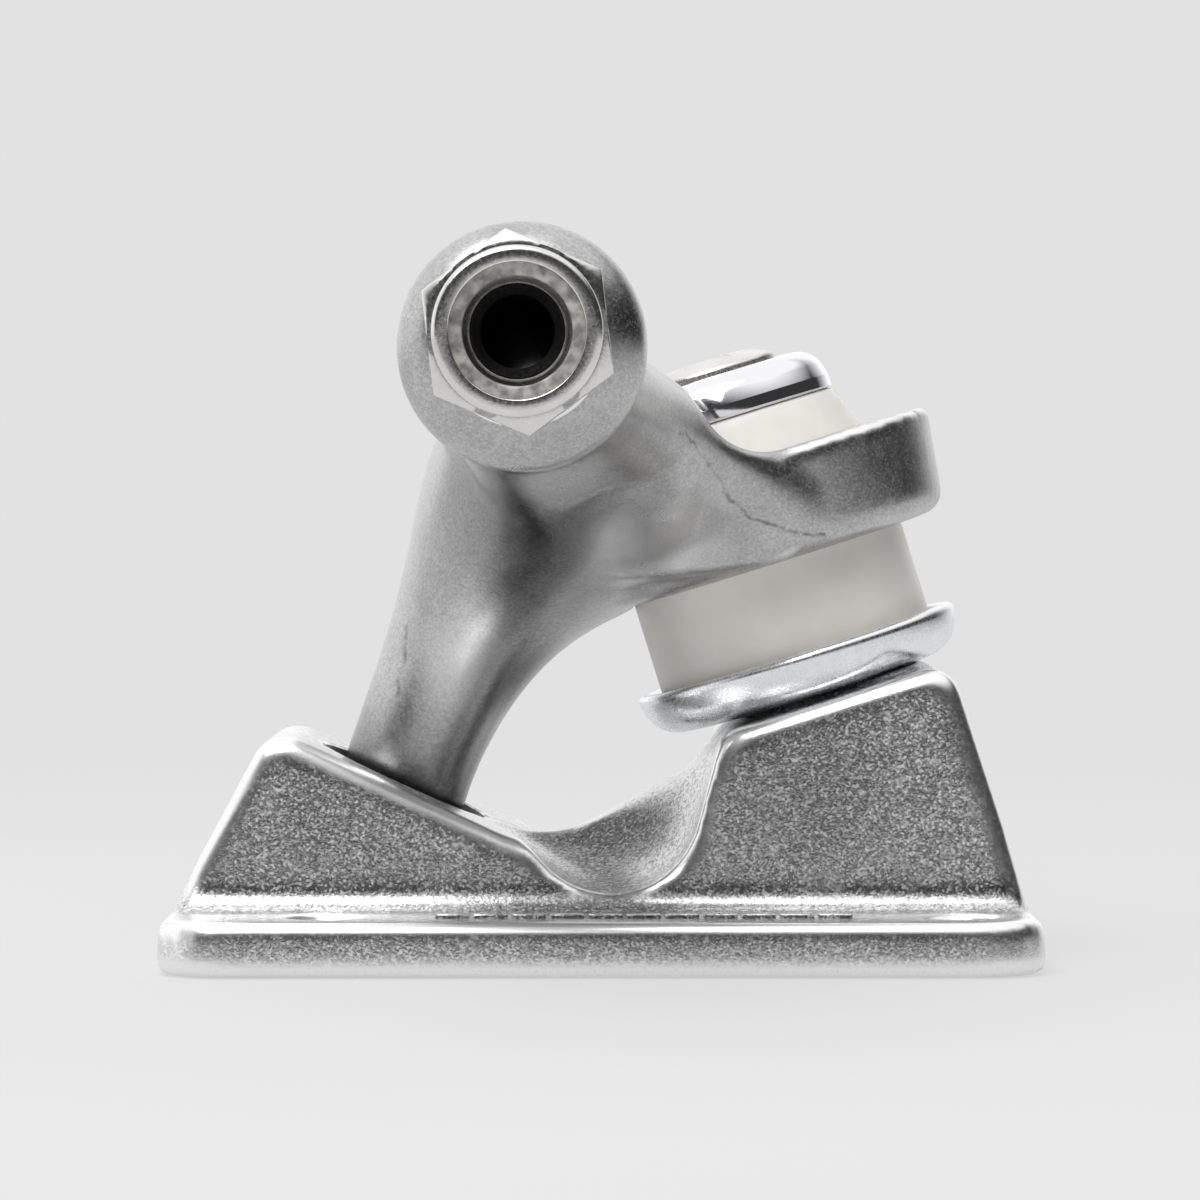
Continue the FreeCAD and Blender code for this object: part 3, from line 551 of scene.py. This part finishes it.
def shade(tree, kind, inputs=(), **settings):
    """New shader node; an input is a value or the socket of another node."""
    made = tree.nodes.new("ShaderNode" + kind)
    for name, value in settings.items():
        setattr(made, name, value)
    for key, value in dict(inputs).items():
        if isinstance(value, bpy.types.NodeSocket):
            tree.links.new(value, made.inputs[key])
        else:
            made.inputs[key].default_value = value
    return made


def new_finish(name):
    material = bpy.data.materials.new(name)
    material.use_nodes = True
    tree = material.node_tree
    return material, tree, tree.nodes["Principled BSDF"]


def object_place(tree):
    return shade(tree, "TexCoord").outputs["Object"]


def maths(tree, operation, first, second):
    return shade(tree, "Math", {0: first, 1: second}, operation=operation).outputs[0]


def vector_maths(tree, operation, inputs, output="Vector"):
    return shade(tree, "VectorMath", inputs, operation=operation).outputs[output]


def grain(tree, size, detail=3.0, roughness=0.6):
    """Noise whose patches are about this size."""
    return shade(tree, "TexNoise", {"Vector": object_place(tree), "Scale": 1 / size,
                                    "Detail": detail, "Roughness": roughness}).outputs["Fac"]


def spread(tree, value, low, high, to_low, to_high):
    """Value stretched from one range to another and kept inside it."""
    return shade(tree, "MapRange", {"Value": value, "From Min": low, "From Max": high,
                                    "To Min": to_low, "To Max": to_high}).outputs["Result"]


def blend_colours(tree, amount, first, second):
    """Colour from the first to the second by an amount from 0 to 1."""
    made = shade(tree, "Mix", {0: amount}, data_type="RGBA")
    for index, value in ((6, first), (7, second)):
        if isinstance(value, bpy.types.NodeSocket):
            tree.links.new(value, made.inputs[index])
        else:
            made.inputs[index].default_value = (*value, 1)
    return made.outputs[2]


def bump(tree, height, strength, distance, normal=None):
    made = shade(tree, "Bump", {"Height": height, "Strength": strength, "Distance": distance})
    if normal:
        tree.links.new(normal, made.inputs["Normal"])
    return made.outputs["Normal"]


def scaled(colour_value, factor):
    return tuple(min(1.0, part * factor) for part in colour_value)


def seams(tree, lines):
    """Broken lines through (x, z) points in the truck's side view: 1 on them, 0 elsewhere."""
    wave, sway = 2.5 * MM, 1.2 * MM
    core, border = 0.06 * MM, 0.24 * MM
    wobble = shade(tree, "TexNoise", {"Vector": object_place(tree), "Scale": 1 / wave})
    wobble = vector_maths(tree, "SCALE", {0: wobble.outputs["Color"], "Scale": sway})
    flat = vector_maths(tree, "ADD", {0: object_place(tree), 1: wobble})
    flat = vector_maths(tree, "MULTIPLY", {0: flat, 1: (1, 0, 1)})
    most = 0.0
    for line in lines:
        for start, end in zip(line, line[1:]):
            start, end = Vector((start[0], 0, start[1])), Vector((end[0], 0, end[1]))
            ahead = end - start
            from_start = vector_maths(tree, "SUBTRACT", {0: flat, 1: start})
            along = vector_maths(tree, "DOT_PRODUCT",
                                 {0: from_start, 1: ahead / ahead.length_squared}, "Value")
            near = vector_maths(tree, "SCALE",
                                {0: ahead, "Scale": spread(tree, along, 0, 1, 0, 1)})
            away = vector_maths(tree, "DISTANCE", {0: from_start, 1: near}, "Value")
            most = maths(tree, "MAXIMUM", spread(tree, away, core, border, 1, 0), most)
    breaks = spread(tree, grain(tree, 1.5 * MM), 0.38, 0.62, 0.12, 0.6)
    return maths(tree, "MULTIPLY", most, breaks)


def casting_finish(name, tone, grain_size, contrast, patchy, roughness, depth, wave, scuff_and_highlight_from,
                   lines=()):
    """Cast aluminium: sparkling grain, soft clouds, edges lightened to bright metal as real
    scuffing and painted highlight, then painted highlight and painted shade from the mesh's
    attributes.
    """
    material, tree, shader = new_finish(name)
    coarse = grain(tree, grain_size, 2.0, 0.6)
    fine = grain(tree, grain_size * 0.45, 1.0, 0.5)
    cloud = grain(tree, 6 * MM, 4.0, 0.55)
    swell = grain(tree, 3.2 * MM, 1.0, 0.4)
    spot = shade(tree, "TexVoronoi", {"Vector": object_place(tree), "Scale": 1 / grain_size})
    spot = shade(tree, "SeparateColor", {0: spot.outputs["Color"]}).outputs[0]
    grains = blend_colours(tree, spot, scaled(tone, 1 - contrast), scaled(tone, 1 + contrast))
    clouds = blend_colours(tree, spread(tree, cloud, 0.36, 0.64, 0, patchy), grains,
                           scaled(tone, 0.5))
    # Lightened edges: partly real scuffing, partly painted highlight
    edge = shade(tree, "Attribute", attribute_name="edge").outputs["Fac"]
    scuff_and_highlight = spread(tree, edge, scuff_and_highlight_from, scuff_and_highlight_from + 0.7, 0, 1)
    scuffed_and_highlighted = blend_colours(tree, scuff_and_highlight, clouds, BARE_METAL_AND_PAINTED_HIGHLIGHT)
    # Painted highlight from the mesh's attribute
    painted_highlight = shade(tree, "Attribute", attribute_name="painted_highlight").outputs["Fac"]
    with_painted_highlight = blend_colours(tree, painted_highlight, scuffed_and_highlighted, BARE_METAL_AND_PAINTED_HIGHLIGHT)
    # Painted shade from the mesh's attribute
    painted_shade = shade(tree, "Attribute", attribute_name="painted_shade").outputs["Fac"]
    with_painted_shade = blend_colours(tree, painted_shade, with_painted_highlight, scaled(tone, 0.12))
    if lines:
        with_painted_shade = blend_colours(tree, seams(tree, lines), with_painted_shade, scaled(tone, 0.1))
    tree.links.new(with_painted_shade, shader.inputs["Base Color"])
    rough = spread(tree, cloud, 0.3, 0.7, roughness + 0.05, roughness - 0.05)
    rough = shade(tree, "Mix", {0: scuff_and_highlight, 2: rough, 3: 0.27}, data_type="FLOAT").outputs[0]
    tree.links.new(rough, shader.inputs["Roughness"])
    calm = spread(tree, scuff_and_highlight, 0, 1, 1, 0.2)
    relief = bump(tree, swell, 1.0, wave)
    relief = bump(tree, coarse, calm, depth, relief)
    relief = bump(tree, fine, calm, depth / 2, relief)
    tree.links.new(relief, shader.inputs["Normal"])
    sparkle = maths(tree, "MULTIPLY", calm, spread(tree, spot, 0.6, 1, 0, contrast))
    tree.links.new(spread(tree, sparkle, 0, 1, 1, 0), shader.inputs["Metallic"])
    return material


def plated_finish(name, tone, roughness, mottle, depth):
    """Plated or polished metal with faint blotches and fine handling marks."""
    material, tree, shader = new_finish(name)
    cloud = grain(tree, 2.2 * MM, 4.0, 0.6)
    fine = grain(tree, 0.25 * MM, 3.0, 0.6)
    tones = blend_colours(tree, spread(tree, cloud, 0.3, 0.7, 0, 1), scaled(tone, 1 - mottle),
                          scaled(tone, 1 + mottle))
    tree.links.new(tones, shader.inputs["Base Color"])
    tree.links.new(spread(tree, fine, 0.3, 0.7, roughness * 0.7, roughness * 1.4),
                   shader.inputs["Roughness"])
    relief = bump(tree, fine, 0.4, depth)
    relief = bump(tree, cloud, 0.3, depth * 4, relief)
    tree.links.new(relief, shader.inputs["Normal"])
    shader.inputs["Metallic"].default_value = 1.0
    return material


def urethane_finish(name, tone, roughness, glow, patch=4 * MM, mottle=0.05):
    """Cast urethane or nylon: a cloudy plastic that light sinks into."""
    material, tree, shader = new_finish(name)
    cloud = grain(tree, patch, 3.0, 0.5)
    fine = grain(tree, 0.2 * MM, 2.0, 0.5)
    tones = blend_colours(tree, spread(tree, cloud, 0.36, 0.64, 0, 1),
                          scaled(tone, 1 - mottle), tone)
    tree.links.new(tones, shader.inputs["Base Color"])
    tree.links.new(spread(tree, fine, 0.3, 0.7, roughness - 0.06, roughness + 0.08),
                   shader.inputs["Roughness"])
    tree.links.new(bump(tree, fine, 0.2, 0.02 * MM), shader.inputs["Normal"])
    shader.inputs["Subsurface Weight"].default_value = glow
    shader.inputs["Subsurface Radius"].default_value = (1.0, 0.9, 0.7)
    shader.inputs["Subsurface Scale"].default_value = 1.5 * MM
    return material


class TRUCK_OT_baseplate(Operator):
    """Cast baseplate with its raised bars"""
    bl_idname = "truck.baseplate"
    bl_label = "Baseplate"

    def execute(self, context):
        sizes = context.scene.truck.casting
        bm = even_faces(node_mesh("baseplate"), sizes.baseplate_voxel)
        smooth(bm, bm.verts[:], sizes.soften_passes)
        draft_flange(bm, sizes)
        mark_edges(bm, sizes.edge_passes, sizes.edge_height)
        bm = merged([bm, flange_bars(sizes, -1), flange_bars(sizes, 1)])
        finish = casting_finish("Tumbled casting", context.scene.truck.colours.baseplate,
                                grain_size=0.2 * MM, contrast=0.5, patchy=0.3, roughness=0.24,
                                depth=0.02 * MM, wave=0.02 * MM, scuff_and_highlight_from=0.15)
        make_piece("baseplate_casting", bm, finish, "base", ["baseplate"])
        return {"FINISHED"}


class TRUCK_OT_pivot_cup(Operator):
    """Urethane cup that holds the hanger's nose"""
    bl_idname = "truck.pivot_cup"
    bl_label = "Pivot Cup"

    def execute(self, context):
        truck = context.scene.truck
        cup = truck.cup
        reach = math.hypot(cup.mouth_radius, cup.high)
        turn = math.atan2(cup.high, cup.mouth_radius) - math.acos(cup.socket_radius / reach)
        foot_round, rim_round, mouth_round, socket_round = 0.4 * MM, 0.2 * MM, 0.1 * MM, 1.5 * MM
        bm = turned([
            (cup.vent_radius, cup.low, 0),
            (cup.radius, cup.low, foot_round),
            (cup.radius, cup.high, rim_round),
            (cup.mouth_radius, cup.high, mouth_round),
            (cup.socket_radius * math.cos(turn), cup.socket_radius * math.sin(turn), 0),
            (cup.socket_radius * 0.8, -cup.socket_radius * 0.6, socket_round),
            (cup.vent_radius, -cup.socket_radius * 0.955, 0),
        ])
        bm.transform(cup_frame(truck.axes))
        finish = urethane_finish("Black urethane", truck.colours.cup, roughness=0.5, glow=0)
        make_piece("pivot_cup_urethane", bm, finish, "base", ["pivot_cup"])
        return {"FINISHED"}


class TRUCK_OT_kingpin(Operator):
    """Kingpin, its nut and the nut's nylon ring"""
    bl_idname = "truck.kingpin"
    bl_label = "Kingpin"

    def execute(self, context):
        truck = context.scene.truck
        pin = truck.kingpin
        stand = kingpin_frame(truck.axes)
        steel = plated_finish("Plated steel", truck.colours.steel, roughness=0.3, mottle=0.06,
                              depth=0.01 * MM)
        nylon = urethane_finish("Kingpin nylon", truck.colours.nylon, roughness=0.45, glow=0,
                                patch=0.9 * MM, mottle=0.6)
        root = pin.radius - pin.thread_depth
        socket = pin.socket_across / 2
        end_round, head_round, socket_round = 0.4 * MM, 0.5 * MM, 0.15 * MM
        drill_point, socket_rim = 0.6 * MM, 0.2 * MM
        body = turned([
            (0, pin.end, 0),
            (root, pin.end, end_round),
            (root, pin.thread_high, 0),
            (pin.radius, pin.thread_high + pin.thread_depth, 0),
            (pin.radius, pin.head_low, 0),
            (pin.head_radius, pin.head_low, 0),
            (pin.head_radius, pin.head_high - pin.head_dome, head_round),
            (socket, pin.head_high, socket_round),
            (socket, pin.head_high - pin.socket_depth, 0),
            (0, pin.head_high - pin.socket_depth - drill_point, 0),
        ], SMALL_STEPS, closed=False)
        for vert in body.verts:
            radius = math.hypot(vert.co.x, vert.co.y)
            if pin.head_low < vert.co.z and 0 < radius < socket + socket_rim:
                turn = math.atan2(vert.co.y, vert.co.x) % (math.pi / 3) - math.pi / 6
                vert.co.x /= math.cos(turn)
                vert.co.y /= math.cos(turn)
        screw = thread(pin.radius - THREAD_SINK, root, pin.end + pin.thread_pitch / 2,
                       pin.thread_high, pin.thread_pitch)
        bm = merged([body, screw])
        bm.transform(stand)
        make_piece("kingpin_bolt", bm, steel, "base", ["kingpin"])
        bore = pin.radius + FIT_GAP
        down = stand @ Matrix.Translation((0, 0, pin.nut_high)) @ Matrix.Rotation(math.pi, 4, "X")
        bm = lock_nut(pin.nut_across, pin.nut_height, bore, pin)
        bm.transform(down)
        make_piece("kingpin_lock_nut", bm, steel, "base", ["kingpin_nut"])
        bm = nylon_ring(pin.nut_height, bore, bore, pin)
        bm.transform(down)
        make_piece("kingpin_nut_ring", bm, nylon, "base", ["kingpin_nut_insert"])
        return {"FINISHED"}


class TRUCK_OT_washers(Operator):
    """Washers under and over the bushings"""
    bl_idname = "truck.washers"
    bl_label = "Kingpin Washers"

    def execute(self, context):
        truck = context.scene.truck
        sizes = truck.washers
        stand = kingpin_frame(truck.axes)
        zinc = plated_finish("Zinc plate", truck.colours.zinc, roughness=0.27, mottle=0.05,
                             depth=0.005 * MM)
        chrome = plated_finish("Chrome plate", truck.colours.chrome, roughness=0.08, mottle=0.02,
                               depth=0.003 * MM)
        lip = sizes.dish_wall * 0.45
        inner = sizes.dish_radius - sizes.dish_wall
        hole_round, floor_round = 0.2 * MM, 0.6 * MM
        bm = turned([
            (sizes.hole_radius, 0, hole_round),
            (sizes.dish_foot_radius, 0, sizes.dish_round),
            (sizes.dish_radius, sizes.dish_height, lip),
            (inner, sizes.dish_height, lip),
            (sizes.dish_foot_radius - sizes.dish_wall, sizes.dish_wall, floor_round),
            (sizes.hole_radius, sizes.dish_wall, hole_round),
        ])
        bm.transform(stand)
        make_piece("bottom_washer_dish", bm, zinc, "base", ["bottom_washer"])
        band = sizes.cap_low + sizes.cap_band
        cone = Vector((sizes.cap_top_radius - sizes.cap_radius, sizes.cap_high - band))
        crown = Vector((sizes.cap_radius, band)) + cone / 2
        crown += cone.orthogonal().normalized() * -sizes.cap_bulge * 2
        edge, crown_round, recess_round = 0.25 * MM, 2.2 * MM, 0.1 * MM
        bm = turned([
            (sizes.hole_radius, sizes.cap_low, edge),
            (sizes.cap_radius, sizes.cap_low, edge),
            (sizes.cap_radius, band, edge),
            (crown.x, crown.y, crown_round),
            (sizes.cap_top_radius, sizes.cap_high, edge),
            (sizes.cap_recess_radius, sizes.cap_high, recess_round),
            (sizes.cap_recess_radius, sizes.cap_recess_low, 0),
            (sizes.hole_radius, sizes.cap_recess_low, 0),
        ])
        bm.transform(stand)
        make_piece("top_washer_cap", bm, chrome, "base", ["top_washer"])
        return {"FINISHED"}


class TRUCK_OT_bushings(Operator):
    """Urethane bushings between the baseplate and the hanger"""
    bl_idname = "truck.bushings"
    bl_label = "Bushings"

    def execute(self, context):
        truck = context.scene.truck
        sizes = truck.bushings
        stand = kingpin_frame(truck.axes)
        ivory = urethane_finish("Ivory urethane", truck.colours.bushing, roughness=0.34,
                                glow=0.35)
        lower = turned([
            (sizes.bore_radius, sizes.lower_low, sizes.rounding),
            (sizes.lower_radius, sizes.lower_low, sizes.rounding),
            (sizes.lower_radius, sizes.lower_high, sizes.rounding),
            (sizes.bore_radius, sizes.lower_high, sizes.rounding),
        ])
        upper = turned([
            (sizes.bore_radius, sizes.upper_low, sizes.rounding),
            (sizes.upper_foot_radius, sizes.upper_low, sizes.rounding),
            (sizes.upper_foot_radius, sizes.upper_shoulder, sizes.rounding),
            (sizes.upper_top_radius, sizes.upper_high, sizes.rounding),
            (sizes.bore_radius, sizes.upper_high, sizes.rounding),
        ])
        rows = (
            ("bottom_bushing_urethane", lower, "bottom_bushing", "base", "hanger",
             sizes.lower_low + sizes.rounding, sizes.lower_high - sizes.rounding),
            ("top_bushing_urethane", upper, "top_bushing", "hanger", "base",
             sizes.upper_shoulder, sizes.upper_high - sizes.rounding),
        )
        for name, bm, node, first, second, start, end in rows:
            steps = 6
            for step in range(1, steps):
                height = start + (end - start) * step / steps
                bmesh.ops.bisect_plane(bm, geom=bm.verts[:] + bm.edges[:] + bm.faces[:],
                                       plane_co=(0, 0, height), plane_no=(0, 0, 1))
            bm.transform(stand)
            piece = make_piece(name, bm, ivory, stands_for=[node])
            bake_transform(piece)
        return {"FINISHED"}


class TRUCK_OT_hanger(Operator):
    """Cast hanger"""
    bl_idname = "truck.hanger"
    bl_label = "Hanger"

    def execute(self, context):
        truck = context.scene.truck
        sizes = truck.casting
        bm = even_faces(node_mesh("hanger"), sizes.hanger_voxel)
        soften_flanks(bm, sizes)
        smooth(bm, bm.verts[:], sizes.soften_passes)
        mark_edges(bm, sizes.edge_passes, sizes.edge_height)
        # Painted shade round the stem's foot, under the wing and on the stem's inner side
        mark_patches(bm, "painted_shade", [
            (truck.axes.pivot, sizes.foot_shade_reach, sizes.foot_strength),
            (sizes.hollow, sizes.hollow_shade_reach, sizes.hollow_strength),
            (sizes.crook, sizes.crook_shade_reach, sizes.crook_strength),
        ])
        # Painted highlight on the neck and on the stem
        mark_patches(bm, "painted_highlight", [
            (sizes.painted_highlight, sizes.highlight_reach, sizes.highlight_strength),
            (sizes.stem_highlight, sizes.stem_highlight_reach, sizes.stem_highlight_strength),
        ])
        finish = casting_finish("Satin casting", truck.colours.hanger,
                                grain_size=0.18 * MM, contrast=0.16, patchy=0.3, roughness=0.3,
                                depth=0.01 * MM, wave=0.015 * MM, scuff_and_highlight_from=0.9,
                                lines=CASTING_LINES)
        make_piece("hanger_casting", bm, finish, "hanger", ["hanger"])
        return {"FINISHED"}


class TRUCK_OT_axle(Operator):
    """Hollow axle with a thread at each end"""
    bl_idname = "truck.axle"
    bl_label = "Axle"

    def execute(self, context):
        truck = context.scene.truck
        sizes = truck.axle
        low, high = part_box("axle")
        half = (high.y - low.y) / 2
        radius = (high.x - low.x) / 2
        root = radius - sizes.thread_depth
        start = half - sizes.thread_length
        flare = sizes.mouth_radius - sizes.bore_radius
        mouth_round, end_round = 0.1 * MM, 0.3 * MM
        profile = []
        for end in (-1, 1):
            rows = [
                (sizes.bore_radius, half - flare, 0), (sizes.mouth_radius, half, mouth_round),
                (root, half, end_round), (root, start, 0), (radius, start - sizes.thread_depth, 0),
            ]
            profile += [(r, h * end, rounding) for r, h, rounding in rows[::-end]]
        tube = turned(profile, SMALL_STEPS)
        # Painted shade: the faces in the bore and the end faces take the near-black second
        # material
        for face in tube.faces:
            middle = face.calc_center_median()
            if math.hypot(middle.x, middle.y) < sizes.mouth_radius or abs(face.normal.z) > 0.9:
                face.material_index = 1
        screws = [thread(radius - THREAD_SINK, root, start, half - end_round, sizes.thread_pitch)
                  for _ in range(2)]
        screws[1].transform(Matrix.Rotation(math.pi, 4, "X"))
        bm = merged([tube] + screws)
        bm.transform(axle_frame(truck.axes, 1))
        steel = plated_finish("Axle steel", truck.colours.steel, roughness=0.32, mottle=0.06,
                              depth=0.01 * MM)
        # Painted shade for the bore and the ends
        bore_shade = plated_finish("Painted bore shade", truck.colours.bore, roughness=0.7, mottle=0.2,
                              depth=0.02 * MM)
        make_piece("axle_tube", bm, [steel, bore_shade], "hanger", ["axle"])
        return {"FINISHED"}


class TRUCK_OT_axle_nuts(Operator):
    """Lock nuts at both ends of the axle"""
    bl_idname = "truck.axle_nuts"
    bl_label = "Axle Nuts"

    def execute(self, context):
        truck = context.scene.truck
        sizes = truck.axle
        steel = plated_finish("Nut steel", truck.colours.steel, roughness=0.2, mottle=0.05,
                              depth=0.01 * MM)
        nylon = urethane_finish("Nut nylon", truck.colours.nylon, roughness=0.4, glow=0,
                                patch=0.9 * MM, mottle=0.6)
        axle_low, axle_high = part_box("axle")
        bore = (axle_high.x - axle_low.x) / 2 + FIT_GAP
        for end, name in ((-1, "left"), (1, "right")):
            low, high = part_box("axle_nut_" + name)
            height = high.y - low.y
            inner = min(abs(low.y), abs(high.y))
            stand = (axle_frame(truck.axes, end) @ Matrix.Translation((0, 0, inner))
                     @ Matrix.Rotation(sizes.nut_turn, 4, "Z"))
            nut = lock_nut(sizes.nut_across, height, bore, sizes)
            nut.transform(stand)
            make_piece("axle_lock_nut_" + name, nut, steel, "hanger",
                       ["axle_nut_" + name])
            ring = nylon_ring(height, bore, sizes.insert_mouth_radius, sizes)
            ring.transform(stand)
            make_piece("axle_nut_ring_" + name, ring, nylon, "hanger",
                       ["axle_nut_insert_" + name])
        return {"FINISHED"}


class TRUCK_OT_speed_washers(Operator):
    """Small washers on both sides of each wheel seat"""
    bl_idname = "truck.speed_washers"
    bl_label = "Speed Washers"

    def execute(self, context):
        truck = context.scene.truck
        zinc = plated_finish("Washer zinc", truck.colours.zinc, roughness=0.22, mottle=0.04,
                             depth=0.01 * MM)
        rounding = 0.25 * MM
        for end, side in ((-1, "left"), (1, "right")):
            for spot in ("inner", "outer"):
                name = f"speed_washer_{side}_{spot}"
                low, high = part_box(name)
                radius = (high.x - low.x) / 2
                near, far = sorted((abs(low.y), abs(high.y)))
                hole = truck.axle.washer_hole_radius
                bm = turned([(hole, near, rounding), (radius, near, rounding),
                             (radius, far, rounding), (hole, far, rounding)], SMALL_STEPS)
                bm.transform(axle_frame(truck.axes, end))
                make_piece(name + "_disc", bm, zinc, name, [name])
        return {"FINISHED"}


class TRUCK_OT_stage(Operator):
    """Floor, light and camera"""
    bl_idname = "truck.stage"
    bl_label = "Studio"

    def execute(self, context):
        scene = context.scene
        stage = scene.truck.stage
        scene.view_settings.view_transform = "Standard"
        self.make_floor(stage)
        self.make_world(scene, stage)
        self.make_key(stage)
        camera = bpy.data.objects.new("Camera", bpy.data.cameras.new("Camera"))
        scene.collection.objects.link(camera)
        camera.location = stage.camera
        heading = Vector(stage.aim) - Vector(stage.camera)
        camera.rotation_euler = heading.to_track_quat("-Z", "Y").to_euler()
        camera.data.sensor_width = 36
        camera.data.lens = stage.lens
        camera.data.clip_start = 0.01
        scene.camera = camera
        return {"FINISHED"}

    def seen_rays(self, tree):
        """1 for rays that show a surface to the camera, straight or in a reflection."""
        rays = shade(tree, "LightPath").outputs
        seen = maths(tree, "MAXIMUM", rays["Is Camera Ray"], rays["Is Glossy Ray"])
        return maths(tree, "MAXIMUM", seen, rays["Is Transmission Ray"])

    def make_floor(self, stage):
        bm = bmesh.new()
        bmesh.ops.create_grid(bm, x_segments=1, y_segments=1, size=3.0)
        bmesh.ops.translate(bm, verts=bm.verts[:], vec=(0, 0, -0.05 * MM))
        mesh = bpy.data.meshes.new("Floor")
        bm.to_mesh(mesh)
        bm.free()
        floor = bpy.data.objects.new("Floor", mesh)
        bpy.context.scene.collection.objects.link(floor)
        material, tree, shader = new_finish("Pale floor")
        tree.nodes.remove(shader)
        pale = stage.backdrop
        plain = shade(tree, "BsdfDiffuse", {"Color": (pale, pale, pale, 1)}).outputs[0]
        kept = pale * (1 - stage.shadow)
        lit = pale * stage.shadow
        glow = shade(tree, "Emission", {"Color": (kept, kept, kept, 1)}).outputs[0]
        wash = shade(tree, "BsdfDiffuse", {"Color": (lit, lit, lit, 1)}).outputs[0]
        near = shade(tree, "AddShader", {0: glow, 1: wash}).outputs[0]
        far = shade(tree, "Emission", {"Color": (pale, pale, pale, 1)}).outputs[0]
        away = vector_maths(tree, "LENGTH", {0: object_place(tree)}, "Value")
        shadow_end, plain_start = 150 * MM, 450 * MM
        fade = spread(tree, away, shadow_end, plain_start, 0, 1)
        look = shade(tree, "MixShader", {0: fade, 1: near, 2: far}).outputs[0]
        final = shade(tree, "MixShader", {0: self.seen_rays(tree), 1: plain, 2: look}).outputs[0]
        tree.links.new(final, tree.nodes["Material Output"].inputs["Surface"])
        mesh.materials.append(material)

    def make_world(self, scene, stage):
        world = bpy.data.worlds.new("Studio")
        scene.world = world
        world.use_nodes = True
        tree = world.node_tree
        background = tree.nodes["Background"]
        direction = shade(tree, "TexCoord").outputs["Generated"]
        parts = shade(tree, "SeparateXYZ", {0: direction}).outputs
        above = spread(tree, parts["Z"], 0.5, 0.75, 0, 1)
        bright_side = (-0.6, 0.8, 0)
        side = vector_maths(tree, "DOT_PRODUCT", {0: direction, 1: bright_side}, "Value")
        behind = spread(tree, side, -0.05, 0.45, 0, 1)
        white = maths(tree, "MAXIMUM", above, behind)
        front = spread(tree, white, 0, 1, stage.front, stage.overhead)
        rays = shade(tree, "LightPath").outputs
        level = shade(tree, "Mix", {0: rays["Is Camera Ray"], 2: front, 3: stage.backdrop},
                      data_type="FLOAT").outputs[0]
        tree.links.new(level, background.inputs["Color"])
        background.inputs["Strength"].default_value = 1.0

    def make_key(self, stage):
        data = bpy.data.lights.new("Key", "AREA")
        data.energy = stage.key_power
        data.size = stage.key_size
        key = bpy.data.objects.new("Key", data)
        key.location = stage.key_place
        key.rotation_euler = (-Vector(key.location)).to_track_quat("-Z", "Y").to_euler()
        bpy.context.scene.collection.objects.link(key)


class TRUCK_PT_panel(Panel):
    bl_idname = "TRUCK_PT_panel"
    bl_label = "Skateboard Truck"
    bl_space_type = "VIEW_3D"
    bl_region_type = "UI"
    bl_category = "Truck"

    def draw(self, context):
        for operator in OPERATORS:
            self.layout.operator(operator.bl_idname)
        truck = context.scene.truck
        for group in (truck.colours, truck.casting, truck.stage):
            box = self.layout.box()
            for name in group.__annotations__:
                box.prop(group, name)


GROUPS = (TruckAxes, CastingSizes, CupSizes, KingpinSizes, WasherSizes, BushingSizes, AxleSizes,
          TruckColours, StageSettings, TruckSettings)
OPERATORS = (TRUCK_OT_baseplate, TRUCK_OT_pivot_cup, TRUCK_OT_kingpin, TRUCK_OT_washers,
             TRUCK_OT_bushings, TRUCK_OT_hanger, TRUCK_OT_axle, TRUCK_OT_axle_nuts,
             TRUCK_OT_speed_washers, TRUCK_OT_stage)


def register():
    for part in GROUPS + OPERATORS + (TRUCK_PT_panel,):
        bpy.utils.register_class(part)
    bpy.types.Scene.truck = PointerProperty(type=TruckSettings)


def unregister():
    del bpy.types.Scene.truck
    for part in reversed(GROUPS + OPERATORS + (TRUCK_PT_panel,)):
        bpy.utils.unregister_class(part)


def main():
    register()
    for operator in OPERATORS:
        name = operator.bl_idname.split(".")[1]
        getattr(bpy.ops.truck, name)()


if __name__ == "__main__":
    main()
